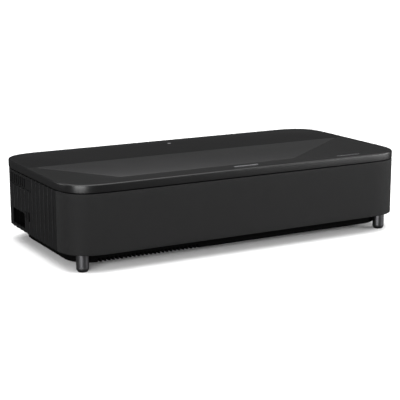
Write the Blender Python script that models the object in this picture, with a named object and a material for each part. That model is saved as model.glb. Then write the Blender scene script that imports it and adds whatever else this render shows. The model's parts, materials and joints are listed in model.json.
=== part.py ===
"""Ultra-short-throw home projector, in metres, +Z up.

The origin is on the surface that the projector stands on, under the middle of the cabinet.
The front, with the cloth speaker grille, faces -Y. Light leaves the top towards +Y, the wall side.
"""

import math

import bmesh
import bpy

# ---------------------------------------------------------------- driving dimensions
CABINET_WIDTH = 0.695
CABINET_DEPTH = 0.341
CORNER = 0.090  # how far each soft corner reaches along the sides
CORNER_POWER = 3.2  # 2 is a round corner, more is squarer
CORNER_STEPS = 9

SLAB_BOTTOM = 0.0115
SLAB_TOP = 0.0317
CASE_BOTTOM = 0.0320
CASE_TOP = 0.1378
LID_BOTTOM = 0.1395
DECK_TOP = 0.1520
RIM_TOP = 0.1540
RIDGE_TOP = 0.1570
LID_SKIN = 0.0025

GAP = 0.0004  # clearance between neighbouring pieces
WALL = 0.0030
HALF_W = CABINET_WIDTH / 2
HALF_D = CABINET_DEPTH / 2

# the raised front of the lid: the door is the four-sided panel between these points
CREASE_Y = 0.024
RIDGE_Y = -0.1415
DOOR_REAR_LEFT = -0.3325
DOOR_REAR_RIGHT = 0.3285
DOOR_FRONT_LEFT = -0.241
DOOR_FRONT_RIGHT = 0.114
DOOR_TRAVEL = 0.100

# light path
LENS_X = -0.057
LENS_Z = 0.092
WINDOW = (-0.195, 0.081, -0.121, -0.043)  # hole in the deck: x0, x1, y0, y1

FRONT_SEAM_Y = -0.110  # where the cloth front meets the ribbed sides
REAR_SEAM_X = 0.2575  # where the ribbed sides meet the rear panel
RIB_PITCH = 0.0186
RIB_GROOVE = 0.0075
RIB_DEPTH = 0.0016

FOOT_X, FOOT_Y, FOOT_R = 0.313, -0.139, 0.011
REAR_FOOT_X, REAR_FOOT_Y, REAR_FOOT_R = 0.270, 0.090, 0.012


# ---------------------------------------------------------------- scene and materials
def clear_scene():
    for obj in list(bpy.data.objects):
        bpy.data.objects.remove(obj, do_unlink=True)


MATERIALS = {
    "case_black": ((0.030, 0.030, 0.032), 0.45, 0.0),
    "side_black": ((0.026, 0.026, 0.028), 0.50, 0.0),
    "cloth_black": ((0.035, 0.035, 0.037), 0.90, 0.0),
    "base_black": ((0.012, 0.012, 0.013), 0.70, 0.0),
    "inner_grey": ((0.10, 0.10, 0.11), 0.60, 0.0),
    "foot_metal": ((0.20, 0.20, 0.21), 0.25, 1.0),
    "rubber_black": ((0.02, 0.02, 0.02), 0.90, 0.0),
    "steel": ((0.45, 0.45, 0.46), 0.35, 1.0),
    "aluminium": ((0.60, 0.60, 0.62), 0.40, 1.0),
    "window_glass": ((0.30, 0.34, 0.38), 0.05, 0.0),
    "mirror_silver": ((0.85, 0.86, 0.88), 0.03, 1.0),
    "board_green": ((0.03, 0.16, 0.08), 0.50, 0.0),
    "gear_white": ((0.75, 0.74, 0.70), 0.50, 0.0),
    "badge_grey": ((0.42, 0.42, 0.43), 0.30, 1.0),
    "filter_foam": ((0.14, 0.14, 0.14), 0.95, 0.0),
    "phosphor_yellow": ((0.75, 0.62, 0.10), 0.50, 0.0),
}


def material(name):
    found = bpy.data.materials.get(name)
    if found:
        return found
    colour, roughness, metallic = MATERIALS[name]
    made = bpy.data.materials.new(name)
    made.use_nodes = True
    shader = made.node_tree.nodes["Principled BSDF"]
    shader.inputs["Base Color"].default_value = (*colour, 1.0)
    shader.inputs["Roughness"].default_value = roughness
    shader.inputs["Metallic"].default_value = metallic
    return made


# ---------------------------------------------------------------- shape helpers
def finish(name, mesh_data, look, location=(0, 0, 0), smooth=False):
    bmesh.ops.recalc_face_normals(mesh_data, faces=mesh_data.faces)
    mesh = bpy.data.meshes.new(name)
    mesh_data.to_mesh(mesh)
    mesh_data.free()
    if smooth:
        mesh.shade_smooth()
        mesh.set_sharp_from_angle(angle=math.radians(30))
    if look:
        mesh.materials.append(material(look))
    obj = bpy.data.objects.new(name, mesh)
    obj.location = location
    bpy.context.scene.collection.objects.link(obj)
    return obj


def helper(obj):
    obj.hide_render = True
    obj.display_type = "WIRE"
    return obj


def boolean(target, other, operation):
    step = target.modifiers.new(operation.lower(), "BOOLEAN")
    step.operation = operation
    step.object = helper(other)
    step.solver = "EXACT"
    return target


def cut(target, other):
    return boolean(target, other, "DIFFERENCE")


def join(target, other):
    return boolean(target, other, "UNION")


def add_box(mesh_data, x0, x1, y0, y1, z0, z1):
    corners = [(x, y, z) for z in (z0, z1) for x, y in ((x0, y0), (x1, y0), (x1, y1), (x0, y1))]
    points = [mesh_data.verts.new(corner) for corner in corners]
    for face in ((3, 2, 1, 0), (4, 5, 6, 7), (0, 1, 5, 4), (1, 2, 6, 5), (2, 3, 7, 6), (3, 0, 4, 7)):
        mesh_data.faces.new([points[i] for i in face])


def boxes(name, spans, look=None):
    """One mesh holding a box for each (x0, x1, y0, y1, z0, z1)."""
    mesh_data = bmesh.new()
    for span in spans:
        add_box(mesh_data, *span)
    return finish(name, mesh_data, look)


def block(name, look, first, *others):
    """A solid made of a first box with further boxes joined to it."""
    made = boxes(name, [first], look)
    for i, span in enumerate(others):
        join(made, boxes(f"{name}_add_{i}", [span]))
    return made


def prism(name, outline, low, high, look=None, axis="z", smooth=False):
    """An outline of (a, b) points extruded along one axis, the other two being a and b."""
    place = {
        "z": lambda a, b, c: (a, b, c),
        "x": lambda a, b, c: (c, a, b),
        "y": lambda a, b, c: (a, c, b),
    }[axis]
    mesh_data = bmesh.new()
    loops = [[mesh_data.verts.new(place(a, b, level)) for a, b in outline] for level in (low, high)]
    mesh_data.faces.new(loops[0])
    mesh_data.faces.new(loops[1])
    count = len(outline)
    for i in range(count):
        j = (i + 1) % count
        mesh_data.faces.new([loops[0][i], loops[0][j], loops[1][j], loops[1][i]])
    return finish(name, mesh_data, look, smooth=smooth)


def turned(name, profile, look=None, axis="z", centre=(0, 0, 0), steps=24, smooth=True):
    """A closed profile of (radius, height) points turned about an axis through centre."""
    place = {
        "z": lambda a, b, c: (a, b, c),
        "x": lambda a, b, c: (c, a, b),
        "y": lambda a, b, c: (a, c, b),
    }[axis]
    mesh_data = bmesh.new()
    rings = []
    for radius, height in profile:
        if radius < 1e-6:
            rings.append([mesh_data.verts.new(place(0, 0, height))])
            continue
        turn = [2 * math.pi * i / steps for i in range(steps)]
        rings.append([
            mesh_data.verts.new(place(radius * math.cos(t), radius * math.sin(t), height)) for t in turn
        ])
    for a, b in zip(rings, rings[1:] + rings[:1]):
        if len(a) == 1 and len(b) == 1:
            continue
        for i in range(steps):
            j = (i + 1) % steps
            corners = [a[i % len(a)], a[j % len(a)], b[j % len(b)], b[i % len(b)]]
            unique = [v for k, v in enumerate(corners) if v not in corners[:k]]
            mesh_data.faces.new(unique)
    return finish(name, mesh_data, look, location=centre, smooth=smooth)


def cylinder(name, radius, low, high, look=None, axis="z", centre=(0, 0, 0), steps=20):
    profile = [(0, low), (radius, low), (radius, high), (0, high)]
    return turned(name, profile, look, axis, centre, steps)


def soft_corner(reach, power, steps):
    """Points of a quarter turn from (reach, 0) to (0, reach), squarer than a circle."""
    turn = [math.pi / 2 * i / steps for i in range(steps + 1)]
    return [
        (reach * math.cos(t) ** (2 / power), reach * math.sin(t) ** (2 / power)) for t in turn
    ]


def soft_rect(x0, x1, y0, y1, reach, power=2.0, steps=CORNER_STEPS):
    """A rectangle with soft corners, anticlockwise from the middle of the +X side's front end."""
    quarter = soft_corner(reach, power, steps)
    points = []
    for centre_x, centre_y, sign_x, sign_y in (
        (x1 - reach, y0 + reach, 1, -1),
        (x1 - reach, y1 - reach, 1, 1),
        (x0 + reach, y1 - reach, -1, 1),
        (x0 + reach, y0 + reach, -1, -1),
    ):
        bend = [(centre_x + sign_x * a, centre_y + sign_y * b) for a, b in quarter]
        points += bend if sign_x * sign_y > 0 else bend[::-1]
    return points


def cabinet(inset):
    """The cabinet's outline in plan, moved in by inset."""
    return soft_rect(
        -HALF_W + inset, HALF_W - inset, -HALF_D + inset, HALF_D - inset, CORNER - inset, CORNER_POWER
    )


def tub(name, outer, inner, low, floor_top, high, look):
    """A tray: outline outer from low to high, hollow above floor_top within outline inner."""
    made = prism(name, outer, low, high, look, smooth=True)
    return cut(made, prism(f"{name}_hollow", inner, floor_top, high + 0.01))


def ring(name, outer, inner, low, high):
    """A closed strip of wall between two outlines."""
    return cut(prism(name, outer, low, high), prism(f"{name}_hole", inner, low - 0.001, high + 0.001))


def cabinet_point(y, inset=0.0, side=1):
    """The point of the inset outline at this y, on the left (side -1) or the right."""
    reach = CORNER - inset
    half_x, over = HALF_W - inset, abs(y) - (HALF_D - inset - reach)
    bend = 1 - max(over, 0) ** CORNER_POWER / reach**CORNER_POWER
    return side * (half_x - reach + reach * max(bend, 0) ** (1 / CORNER_POWER)), y


def corner_path(inset, side, front):
    """The points of one cabinet corner, from the side face to the front or rear face."""
    reach = CORNER - inset
    sign_y = -1 if front else 1
    centre_x, centre_y = side * (HALF_W - CORNER), sign_y * (HALF_D - CORNER)
    quarter = soft_corner(reach, CORNER_POWER, CORNER_STEPS)
    return [(centre_x + side * a, centre_y + sign_y * b) for a, b in quarter]


def band(name, outer, inner, low, high, look):
    """An open strip of wall between two paths with the same ends."""
    return prism(name, outer + inner[::-1], low, high, look, smooth=True)


# ---------------------------------------------------------------- gears
PRESSURE_ANGLE = math.radians(20)
BACKLASH = 0.00022


def involute(angle):
    return math.tan(angle) - angle


def tooth(count, module, middle):
    """One tooth of an external gear as (x, y) points, centred on the angle middle."""
    pitch_r = count * module / 2
    base_r = pitch_r * math.cos(PRESSURE_ANGLE)
    tip_r, root_r = pitch_r + 0.85 * module, pitch_r - 1.15 * module
    half = math.pi / (2 * count) - BACKLASH / (2 * pitch_r)
    radii = [root_r] + [max(base_r, root_r) + (tip_r - max(base_r, root_r)) * i / 3 for i in range(4)]
    flank = []
    for r in radii:
        lean = involute(math.acos(min(1.0, base_r / r))) if r > base_r else 0.0
        flank.append((r, half + involute(PRESSURE_ANGLE) - lean))
    sides = [(r, middle - a) for r, a in flank] + [(r, middle + a) for r, a in flank[::-1]]
    return [(r * math.cos(a), r * math.sin(a)) for r, a in sides]


def gear(name, count, module, phase, low, high, look, axis, centre):
    outline = []
    for i in range(count):
        outline += tooth(count, module, phase + 2 * math.pi * i / count)
    made = prism(name, outline, low, high, look, axis)
    made.location = centre
    return made


# ---------------------------------------------------------------- base
SLAB = (-0.3265, 0.3265, -0.1385, 0.1210)
SLAB_CORNER = 0.049
COMB_FIRST_X, COMB_PITCH, COMB_COUNT, COMB_SLOT = -0.282, 0.008, 25, 0.0042
COMB_REACH, COMB_HEIGHT = 0.014, 0.007
BOSS = (0.160, 0.085, 0.008)  # bracket bosses: x, y, radius
BOSS_DROP = 0.0015
SCREW = (0.240, 0.020)


def signs():
    return [(x, y) for x in (-1, 1) for y in (-1, 1)]


def make_base():
    x0, x1, y0, y1 = SLAB
    wall = 0.0028
    slab = tub(
        "base_slab",
        soft_rect(x0, x1, y0, y1, SLAB_CORNER, steps=6),
        soft_rect(x0 + wall, x1 - wall, y0 + wall, y1 - wall, SLAB_CORNER - wall, steps=6),
        SLAB_BOTTOM,
        SLAB_BOTTOM + wall,
        SLAB_TOP,
        "base_black",
    )
    slots = []
    for i in range(COMB_COUNT):
        middle = COMB_FIRST_X + i * COMB_PITCH
        low, high = SLAB_BOTTOM - 0.001, SLAB_BOTTOM + COMB_HEIGHT
        slots.append(
            (middle - COMB_SLOT / 2, middle + COMB_SLOT / 2, y0 - 0.001, y0 + COMB_REACH, low, high)
        )
    cut(slab, boxes("comb_slots", slots))
    for i, (sx, sy) in enumerate(signs()):
        centre = (sx * BOSS[0], sy * BOSS[1], 0)
        low = SLAB_BOTTOM - BOSS_DROP
        join(slab, cylinder(f"boss_{i}", BOSS[2], low, SLAB_BOTTOM + 0.009, centre=centre, steps=16))
        hole = cylinder(f"boss_hole_{i}", 0.0022, low - 0.001, SLAB_BOTTOM + 0.006, centre=centre, steps=10)
        cut(slab, hole)
    for i, side in enumerate((-1, 1)):
        centre = (side * SCREW[0], SCREW[1], 0)
        cut(slab, cylinder(f"screw_well_{i}", 0.0042, 0, SLAB_BOTTOM + 0.0055, centre=centre, steps=12))
    for label, side in (("left", -1), ("right", 1)):
        centre, edge, top = (side * REAR_FOOT_X, REAR_FOOT_Y, 0), 0.0015, SLAB_BOTTOM - 0.0003
        profile = [(0, 0), (REAR_FOOT_R - edge, 0), (REAR_FOOT_R, edge), (REAR_FOOT_R, top), (0, top)]
        turned(f"rear_foot_{label}", profile, "rubber_black", centre=centre, steps=24)
    for label, side in (("left", -1), ("right", 1)):
        low = SLAB_BOTTOM + 0.0008
        profile = [(0, low), (0.0036, low), (0.0036, low + 0.0022), (0.0016, low + 0.0022)]
        profile += [(0.0016, low + 0.004), (0, low + 0.004)]
        turned(f"case_screw_{label}", profile, "steel", centre=(side * SCREW[0], SCREW[1], 0), steps=12)


def make_front_foot(label, side):
    """A metal sleeve with its threaded stud turns on a rubber pad that stays still on the table."""
    centre = (side * FOOT_X, FOOT_Y, 0)
    sleeve_low, sleeve_top = 0.0014, 0.0312
    stud_r, stud_top = 0.0040, 0.0560
    turned(
        f"foot_sleeve_{label}",
        [
            (0.0068, sleeve_low), (FOOT_R - 0.0022, sleeve_low), (FOOT_R - 0.0006, sleeve_low + 0.0022),
            (FOOT_R, sleeve_low + 0.006), (FOOT_R, sleeve_top - 0.0006), (FOOT_R - 0.0006, sleeve_top),
            (stud_r, sleeve_top), (stud_r, stud_top - 0.001), (stud_r - 0.001, stud_top), (0, stud_top),
            (0, 0.012), (0.0068, 0.012),
        ],
        "foot_metal",
        centre=centre,
        steps=32,
    )
    turned(
        f"foot_pad_{label}",
        [
            (0, 0), (0.0082, 0), (0.0088, 0.0006), (0.0088, 0.0010), (0.0062, 0.0010),
            (0.0062, 0.0100), (0, 0.0100),
        ],
        "rubber_black",
        centre=centre,
        steps=24,
    )


POST_HALF = 0.0025
POSTS = [  # x, y and the underside of what the post carries
    *[(x, y, 0.048) for x in (-0.150, 0.045) for y in (-0.115, -0.050)],
    *[(x, y, 0.050) for x in (-0.100, -0.015) for y in (0.070, 0.135)],
    *[(x, y, 0.048) for x in (0.025, 0.095) for y in (0.065, 0.135)],
    *[(x, y, 0.046) for x in (0.125, 0.200) for y in (0.065, 0.135)],
    *[(0.310, y, 0.047) for y in (-0.030, 0.030)],
    *[(-0.325, y, 0.051) for y in (-0.090, -0.030)],
    *[(0.250, y, 0.047) for y in (0.075, 0.135)],
]


def make_bottom_case():
    floor_top = CASE_BOTTOM + 0.0025
    outer, inner = cabinet(0.0056), cabinet(0.0081)
    case = tub("bottom_case", outer, inner, CASE_BOTTOM, floor_top, 0.0420, "base_black")
    for side in (-1, 1):
        centre = (side * FOOT_X, FOOT_Y, 0)
        join(case, cylinder(f"foot_boss_{side}", 0.0085, CASE_BOTTOM + 0.001, 0.052, centre=centre, steps=16))
        cut(case, cylinder(f"foot_thread_{side}", 0.0043, 0.02, 0.06, centre=centre, steps=16))
    half = POST_HALF
    posts = [(x - half, x + half, y - half, y + half, floor_top - 0.001, top - GAP) for x, y, top in POSTS]
    join(case, boxes("posts", posts))
    # the cable bay takes the rear left corner of the floor
    room = [
        (-0.36, 0.0406), (-0.2921, 0.0406), (-0.2921, 0.0976),
        (-0.1471, 0.0976), (-0.1471, 0.18), (-0.36, 0.18),
    ]
    cut(case, prism("bay_room", room, 0.02, 0.06))


# ---------------------------------------------------------------- outside panels
CLOTH_THICK = 0.0007
RIB_FIRST = FRONT_SEAM_Y + GAP + 0.0085  # y of the first groove's front edge


def make_front():
    """The front is a U of plastic with two speaker windows, and cloth stretched over it."""

    def front_path(inset):
        halves = []
        for side in (-1, 1):
            bend = [p for p in corner_path(inset, side, True) if p[1] < FRONT_SEAM_Y - 0.001]
            halves.append([cabinet_point(FRONT_SEAM_Y, inset, side), *bend])
        return halves[0] + halves[1][::-1]

    low = CASE_BOTTOM + GAP
    behind = CLOTH_THICK + GAP
    band("front_cloth", front_path(0), front_path(CLOTH_THICK), low, CASE_TOP, "cloth_black")
    frame = band("front_frame", front_path(behind), front_path(behind + WALL), low, CASE_TOP, "case_black")
    half = 0.031
    middles = (-SPEAKER_X, SPEAKER_X)
    cut(frame, boxes("speaker_windows", [(x - half, x + half, -0.18, -0.15, 0.056, 0.118) for x in middles]))


def groove(i):
    """The (y, depth) points of the groove behind rib number i, from front to rear."""
    low = RIB_FIRST + i * RIB_PITCH
    high = low + RIB_GROOVE
    return (low, 0), (low + 0.001, RIB_DEPTH), (high - 0.001, RIB_DEPTH), (high, 0)


def row_of_slots(x0, x1, first, pitch, wide, z0, z1, count):
    """Upright slots cut through a panel that faces left or right."""
    starts = [first + i * pitch for i in range(count)]
    return [(x0, x1, y, y + wide, z0, z1) for y in starts]


def rib_path(side, inset, grooves):
    """One side of the cabinet from the front seam to the rear seam, with grooves between the ribs."""
    points = [cabinet_point(FRONT_SEAM_Y + GAP, inset, side)]
    if grooves:
        count = int((HALF_D - 0.052 - RIB_FIRST) / RIB_PITCH) + 1
        points += [cabinet_point(y, inset + depth, side) for i in range(count) for y, depth in groove(i)]
    last = points[-1][1]
    points += [p for p in corner_path(inset, side, False) if p[1] > max(last, HALF_D - CORNER) + 0.004]
    points[-1] = (side * (REAR_SEAM_X + GAP), points[-1][1])
    return points


GROOVE_SLOT_IN, GROOVE_SLOT = 0.0018, 0.004  # slots through the grooves: how far in, how wide
UPPER_VENT = (0.006, 0.114, 0.132)  # y0, z0, z1 on the left side
CABLE_EXIT = (0.043, 0.103, 0.0385, 0.0675)  # y0, y1, z0, z1
LOW_VENT = (0.020, 0.056, 0.073)  # y0, z0, z1
VENT_PITCH, VENT_SLOT = 0.0105, 0.005


def make_side(label, side):
    outer, inner = rib_path(side, 0.0, True), rib_path(side, WALL + 0.0008, False)
    panel = band(f"side_panel_{label}", outer, inner, CASE_BOTTOM + GAP, CASE_TOP, "side_black")
    reach = (side * (HALF_W + 0.002), side * (HALF_W - 0.020))
    x0, x1 = min(reach), max(reach)
    if side > 0:
        slots = [(x0, x1, *FILTER_DOOR)]
        slots += row_of_slots(x0, x1, 0.0752, VENT_PITCH, VENT_SLOT, 0.060, 0.122, 4)
        cut(panel, boxes(f"side_slots_{label}", slots))
        return
    y0, z0, z1 = UPPER_VENT
    slots = row_of_slots(x0, x1, y0 + 0.036, VENT_PITCH, VENT_SLOT, z0, z1, 7)
    y0, z0, z1 = LOW_VENT
    slots += row_of_slots(x0, x1, y0, 0.0085, 0.0042, z0, z1, 3)
    slots.append((x0, x1, *CABLE_EXIT))
    slots += row_of_slots(x0, x1, RIB_FIRST + GROOVE_SLOT_IN, RIB_PITCH, GROOVE_SLOT, 0.060, 0.108, 6)
    cut(panel, boxes(f"side_slots_{label}", slots))
    # a shallow blind pocket carries the upper vent's plain end
    pocket = (-HALF_W - 0.001, -HALF_W + 0.0018, UPPER_VENT[0], 0.1164, 0.1125, 0.1335)
    cut(panel, boxes("vent_pocket", [pocket]))


FILTER_DOOR = (-0.062, 0.062, 0.044, 0.126)  # y0, y1, z0, z1


def make_filter_door():
    """A ribbed cover that pulls straight out of the right side, with the dust filter clipped behind it."""
    y0, y1, z0, z1 = FILTER_DOOR
    grooves = [point for i in range(2, 10) for point in groove(i)]
    kept = [(y, depth) for y, depth in grooves if y0 + GAP + 0.001 < y < y1 - GAP - 0.001]
    outer = [cabinet_point(y, depth) for y, depth in [(y0 + GAP, 0), *kept, (y1 - GAP, 0)]]
    inner_x = HALF_W - WALL - 0.0008
    inner = [(inner_x, y0 + GAP), (inner_x, y1 - GAP)]
    cover = band("filter_cover", outer, inner, z0 + GAP, z1 - GAP, "side_black")
    first = RIB_FIRST + GROOVE_SLOT_IN + 3 * RIB_PITCH
    cut(cover, boxes("cover_slots", row_of_slots(0.33, 0.36, first, RIB_PITCH, GROOVE_SLOT, 0.054, 0.116, 6)))
    pleats, pleat_depth, edge = 14, 0.004, 0.004
    outer_x, inner_x = HALF_W - WALL - 0.0012, HALF_W - 0.0130
    front, back = [], []
    for i in range(pleats + 1):
        y = y0 + edge + (y1 - y0 - 2 * edge) * i / pleats
        swing = pleat_depth if i % 2 else 0.0
        front.append((outer_x - swing, y))
        back.append((inner_x - swing, y))
    prism("air_filter", front + back[::-1], z0 + edge, z1 - edge, "filter_foam")


BUTTON = (0.215, 0, 0.104)


def make_rear():
    y0, y1 = HALF_D - WALL, HALF_D
    before, after = y0 - 0.01, y1 + 0.01
    span = (-REAR_SEAM_X, REAR_SEAM_X, y0, y1, CASE_BOTTOM + GAP, CASE_TOP)
    panel = boxes("rear_panel", [span], "side_black")
    slots = [(-0.2600, -0.1470, before, after, 0.02, 0.0704)]
    slots += [(x, x + 0.0045, before, after, 0.084, 0.124) for x in [0.020 + i * 0.010 for i in range(16)]]
    cut(panel, boxes("rear_slots", slots))
    cut(panel, cylinder("button_hole", 0.0068, before, after, axis="y", centre=BUTTON, steps=24))
    cover = boxes("cable_cover", [(-0.2500, -0.1474, y0, y1, CASE_BOTTOM + 0.0010, 0.0700)], "side_black")
    cut(cover, boxes("cover_grip", [(-0.2240, -0.1740, y1 - 0.0012, after, 0.060, 0.066)]))
    face = y1 - 0.0003
    turned(
        "power_button",
        [
            (0, y0 - 0.004), (0.0082, y0 - 0.004), (0.0082, y0 - 0.0022), (0.0064, y0 - 0.0022),
            (0.0064, face - 0.0005), (0.0058, face), (0, face),
        ],
        "case_black",
        axis="y",
        centre=BUTTON,
        steps=24,
    )


# ---------------------------------------------------------------- cable bay and sockets
BAY_TOP = 0.0700
BAY_RIGHT = -0.1475
BAY_WALL = 0.0025


def make_cable_bay():
    """A hood over the plugs, open below and behind, with a floored passage to the left exit."""
    outline = [
        (-0.3415, 0.0410), (-0.2925, 0.0410), (-0.2925, 0.0980), (BAY_RIGHT, 0.0980), (BAY_RIGHT, 0.1665),
        (-0.2500, 0.1665), (-0.2900, 0.1640), (-0.3220, 0.1480), (-0.3380, 0.1220), (-0.3415, 0.1100),
    ]
    bay = prism("cable_bay", outline, CASE_BOTTOM + GAP, BAY_TOP, "base_black")
    floor, ceiling = CASE_BOTTOM + GAP + BAY_WALL, BAY_TOP - BAY_WALL
    passage = (-0.3600, -0.2950, CABLE_EXIT[0] + 0.0005, CABLE_EXIT[1] - 0.0005, floor, ceiling)
    plugs = (-0.3360, BAY_RIGHT - BAY_WALL, 0.1005, 0.1800, 0.0200, ceiling)
    cut(bay, boxes("cable_bay_hollow", [passage, plugs]))
    holes = [(x - half, x + half, 0.09, 0.11, z0, z1) for x, half, z0, z1 in SOCKET_HOLES]
    cut(bay, boxes("socket_holes", holes))


SOCKETS = {  # name: x, half width, low z, high z
    "hdmi_socket_1": (-0.2300, 0.0085, 0.0450, 0.0520),
    "hdmi_socket_2": (-0.2060, 0.0085, 0.0450, 0.0520),
    "usb_socket": (-0.1840, 0.0075, 0.0450, 0.0525),
    "audio_socket": (-0.1640, 0.0050, 0.0450, 0.0550),
}
POWER_INLET = (-0.2640, 0.0145, 0.0395, 0.0605)
SOCKET_HOLES = [
    (x, half + 0.0004, z0 - 0.0004, z1 + 0.0004) for x, half, z0, z1 in [*SOCKETS.values(), POWER_INLET]
]


SOCKET_FACE = 0.1015  # y of every socket's mouth


def make_sockets():
    skin = 0.0008
    for name, (x, half, z0, z1) in SOCKETS.items():
        shell = boxes(name, [(x - half, x + half, 0.0860, SOCKET_FACE, z0, z1)], "steel")
        z = (z0 + z1) / 2
        if name == "audio_socket":
            bore = cylinder(f"{name}_bore", 0.0018, 0.0900, 0.1100, axis="y", centre=(x, 0, z), steps=16)
            cut(shell, bore)
            continue
        mouth = (x - half + skin, x + half - skin, 0.0900, 0.1100, z0 + skin, z1 - skin)
        cut(shell, boxes(f"{name}_mouth", [mouth]))
        tongue = (x - half + 0.003, x + half - 0.003, 0.0880, 0.1000, z - skin, z + skin)
        join(shell, boxes(f"{name}_tongue", [tongue]))
    x, half, z0, z1 = POWER_INLET
    inlet = boxes("power_inlet", [(x - half, x + half, 0.0780, SOCKET_FACE, z0, z1)], "base_black")
    wall, bevel = 0.002, 0.004
    left, right, low, high = x - half + wall, x + half - wall, z0 + wall, z1 - wall
    mouth = [
        (left, low), (right, low), (right, high - bevel), (right - bevel, high), (left + bevel, high),
        (left, high - bevel),
    ]
    cut(inlet, prism("inlet_mouth", mouth, 0.0840, 0.1100, axis="y"))
    for i, (dx, dz) in enumerate(((-0.007, -0.0003), (0.007, -0.0003), (0.0, 0.0042))):
        pin_x, pin_z = x + dx, (z0 + z1) / 2 + dz
        pin = (pin_x - 0.001, pin_x + 0.001, 0.0820, 0.0990, pin_z - 0.002, pin_z + 0.002)
        join(inlet, boxes(f"inlet_pin_{i}", [pin]))


# ---------------------------------------------------------------- lid and lens door
LIP_OUTER, LIP_INNER = 0.0052, 0.0070
LID_EDGE = 0.0026  # how far the lid's upper edge is chamfered
RIM_INSET, DECK_INSET = 0.0080, 0.0140


def rim_split(inset):
    """The inset outline behind the crease and the part in front of it, both left to right."""
    points = cabinet(inset)
    left = cabinet_point(CREASE_Y, inset, -1)
    right = cabinet_point(CREASE_Y, inset, 1)
    rear = [p for p in points if p[1] > CREASE_Y]
    front = [p for p in points if p[1] < CREASE_Y]
    rear.sort(key=lambda p: math.atan2(p[1] + 0.05, p[0]), reverse=True)
    front.sort(key=lambda p: math.atan2(p[1] - 0.05, p[0]))
    return [left, *rear, right], [left, *front, right]


def make_lid():
    mesh_data = bmesh.new()

    def row(points, z):
        return [mesh_data.verts.new((x, y, z)) for x, y in points]

    rings = {}
    levels = (
        ("low", 0.0, LID_BOTTOM), ("wall", 0.0, RIM_TOP - LID_EDGE), ("edge", LID_EDGE, RIM_TOP),
        ("rim", RIM_INSET, RIM_TOP),
    )
    for label, inset, z in levels:
        rear, front = rim_split(inset)
        rear_row, front_row = row(rear, z), row(front[1:-1], z)
        rings[label] = (rear_row, [rear_row[0], *front_row, rear_row[-1]])
    for lower, upper in (("low", "wall"), ("wall", "edge"), ("edge", "rim")):
        for part in (0, 1):
            a, b = rings[lower][part], rings[upper][part]
            for i in range(len(a) - 1):
                mesh_data.faces.new([a[i], a[i + 1], b[i + 1], b[i]])
    rear_low, front_low = rings["low"]
    mesh_data.faces.new(rear_low + front_low[1:-1][::-1])

    # the deck behind the crease lies lower than the rim, and runs forward under the door
    deck_rear, _ = rim_split(DECK_INSET)
    deck = row(deck_rear, DECK_TOP)
    rim_rear, rim_front = rings["rim"]
    for i in range(len(deck) - 1):
        mesh_data.faces.new([rim_rear[i], rim_rear[i + 1], deck[i + 1], deck[i]])
    front_left = mesh_data.verts.new((DOOR_FRONT_LEFT, RIDGE_Y, DECK_TOP))
    front_right = mesh_data.verts.new((DOOR_FRONT_RIGHT, RIDGE_Y, DECK_TOP))
    right_tip = mesh_data.verts.new((DOOR_REAR_RIGHT, CREASE_Y - 0.0005, DECK_TOP))
    mesh_data.faces.new([*deck, right_tip, front_right, front_left])

    # facets either side of the door and the band in front of it
    tip_left = mesh_data.verts.new((deck_rear[0][0], CREASE_Y, RIM_TOP))
    tip_right = mesh_data.verts.new((DOOR_REAR_RIGHT, CREASE_Y - 0.0005, RIM_TOP))
    end_right = mesh_data.verts.new((deck_rear[-1][0], CREASE_Y, RIM_TOP))
    ridge_left = mesh_data.verts.new((DOOR_FRONT_LEFT, RIDGE_Y, RIDGE_TOP))
    ridge_right = mesh_data.verts.new((DOOR_FRONT_RIGHT, RIDGE_Y, RIDGE_TOP))
    mesh_data.faces.new([rim_rear[0], deck[0], tip_left])
    mesh_data.faces.new([rim_rear[-1], end_right, deck[-1]])
    mesh_data.faces.new([deck[-1], end_right, tip_right, right_tip])
    mesh_data.faces.new([tip_left, deck[0], front_left, ridge_left])
    mesh_data.faces.new([ridge_left, front_left, front_right, ridge_right])
    mesh_data.faces.new([ridge_right, front_right, right_tip, tip_right])
    middle = len(rim_front) // 2
    fan = [tip_left, *rim_front[:middle]]
    for a, b in zip(fan, fan[1:]):
        mesh_data.faces.new([ridge_left, a, b])
    mesh_data.faces.new([ridge_left, rim_front[middle - 1], rim_front[middle], ridge_right])
    fan = [*rim_front[middle:], end_right, tip_right]
    for a, b in zip(fan, fan[1:]):
        mesh_data.faces.new([ridge_right, a, b])
    lid = finish("top_lid", mesh_data, "case_black")

    cut(lid, prism("lid_hollow", cabinet(WALL), LID_BOTTOM - 0.005, DECK_TOP - LID_SKIN))
    # an inner lip hangs behind the tops of the panels, so the shadow gap under the lid is blind
    inside = cabinet(LIP_INNER)
    join(lid, ring("lid_shelf", cabinet(0.0015), inside, LID_BOTTOM + 0.0005, LID_BOTTOM + 0.0025))
    join(lid, ring("lid_lip", cabinet(LIP_OUTER), inside, LID_BOTTOM - 0.0045, LID_BOTTOM + 0.0015))
    holes = [(*WINDOW, 0.140, 0.160)]
    half, arm_y0, arm_y1 = 0.0028, DOOR_ARM_Y[0] - 0.0012, DOOR_ARM_Y[1] + DOOR_TRAVEL + 0.0012
    holes += [(x - half, x + half, arm_y0, arm_y1, 0.140, 0.160) for x in DOOR_ARMS]
    cut(lid, boxes("lid_holes", holes))
    x0, x1, y0, y1 = STATUS_SLIT
    cut(lid, boxes("light_slot", [(x0 - GAP, x1 + GAP, y0 - GAP, y1 + GAP, 0.140, 0.170)]))
    cut(lid, cylinder("sensor_hole", SENSOR_R + GAP, 0.140, 0.160, centre=SENSOR, steps=20))


DOOR_ARMS = (-0.211, 0.099)
DOOR_ARM_Y = (-0.115, -0.095)
DOOR_LOW = DECK_TOP + GAP
STATUS_SLIT = (0.200, 0.250, -0.156, -0.152)
SENSOR, SENSOR_R = (0, 0.142, 0), 0.005


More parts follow.
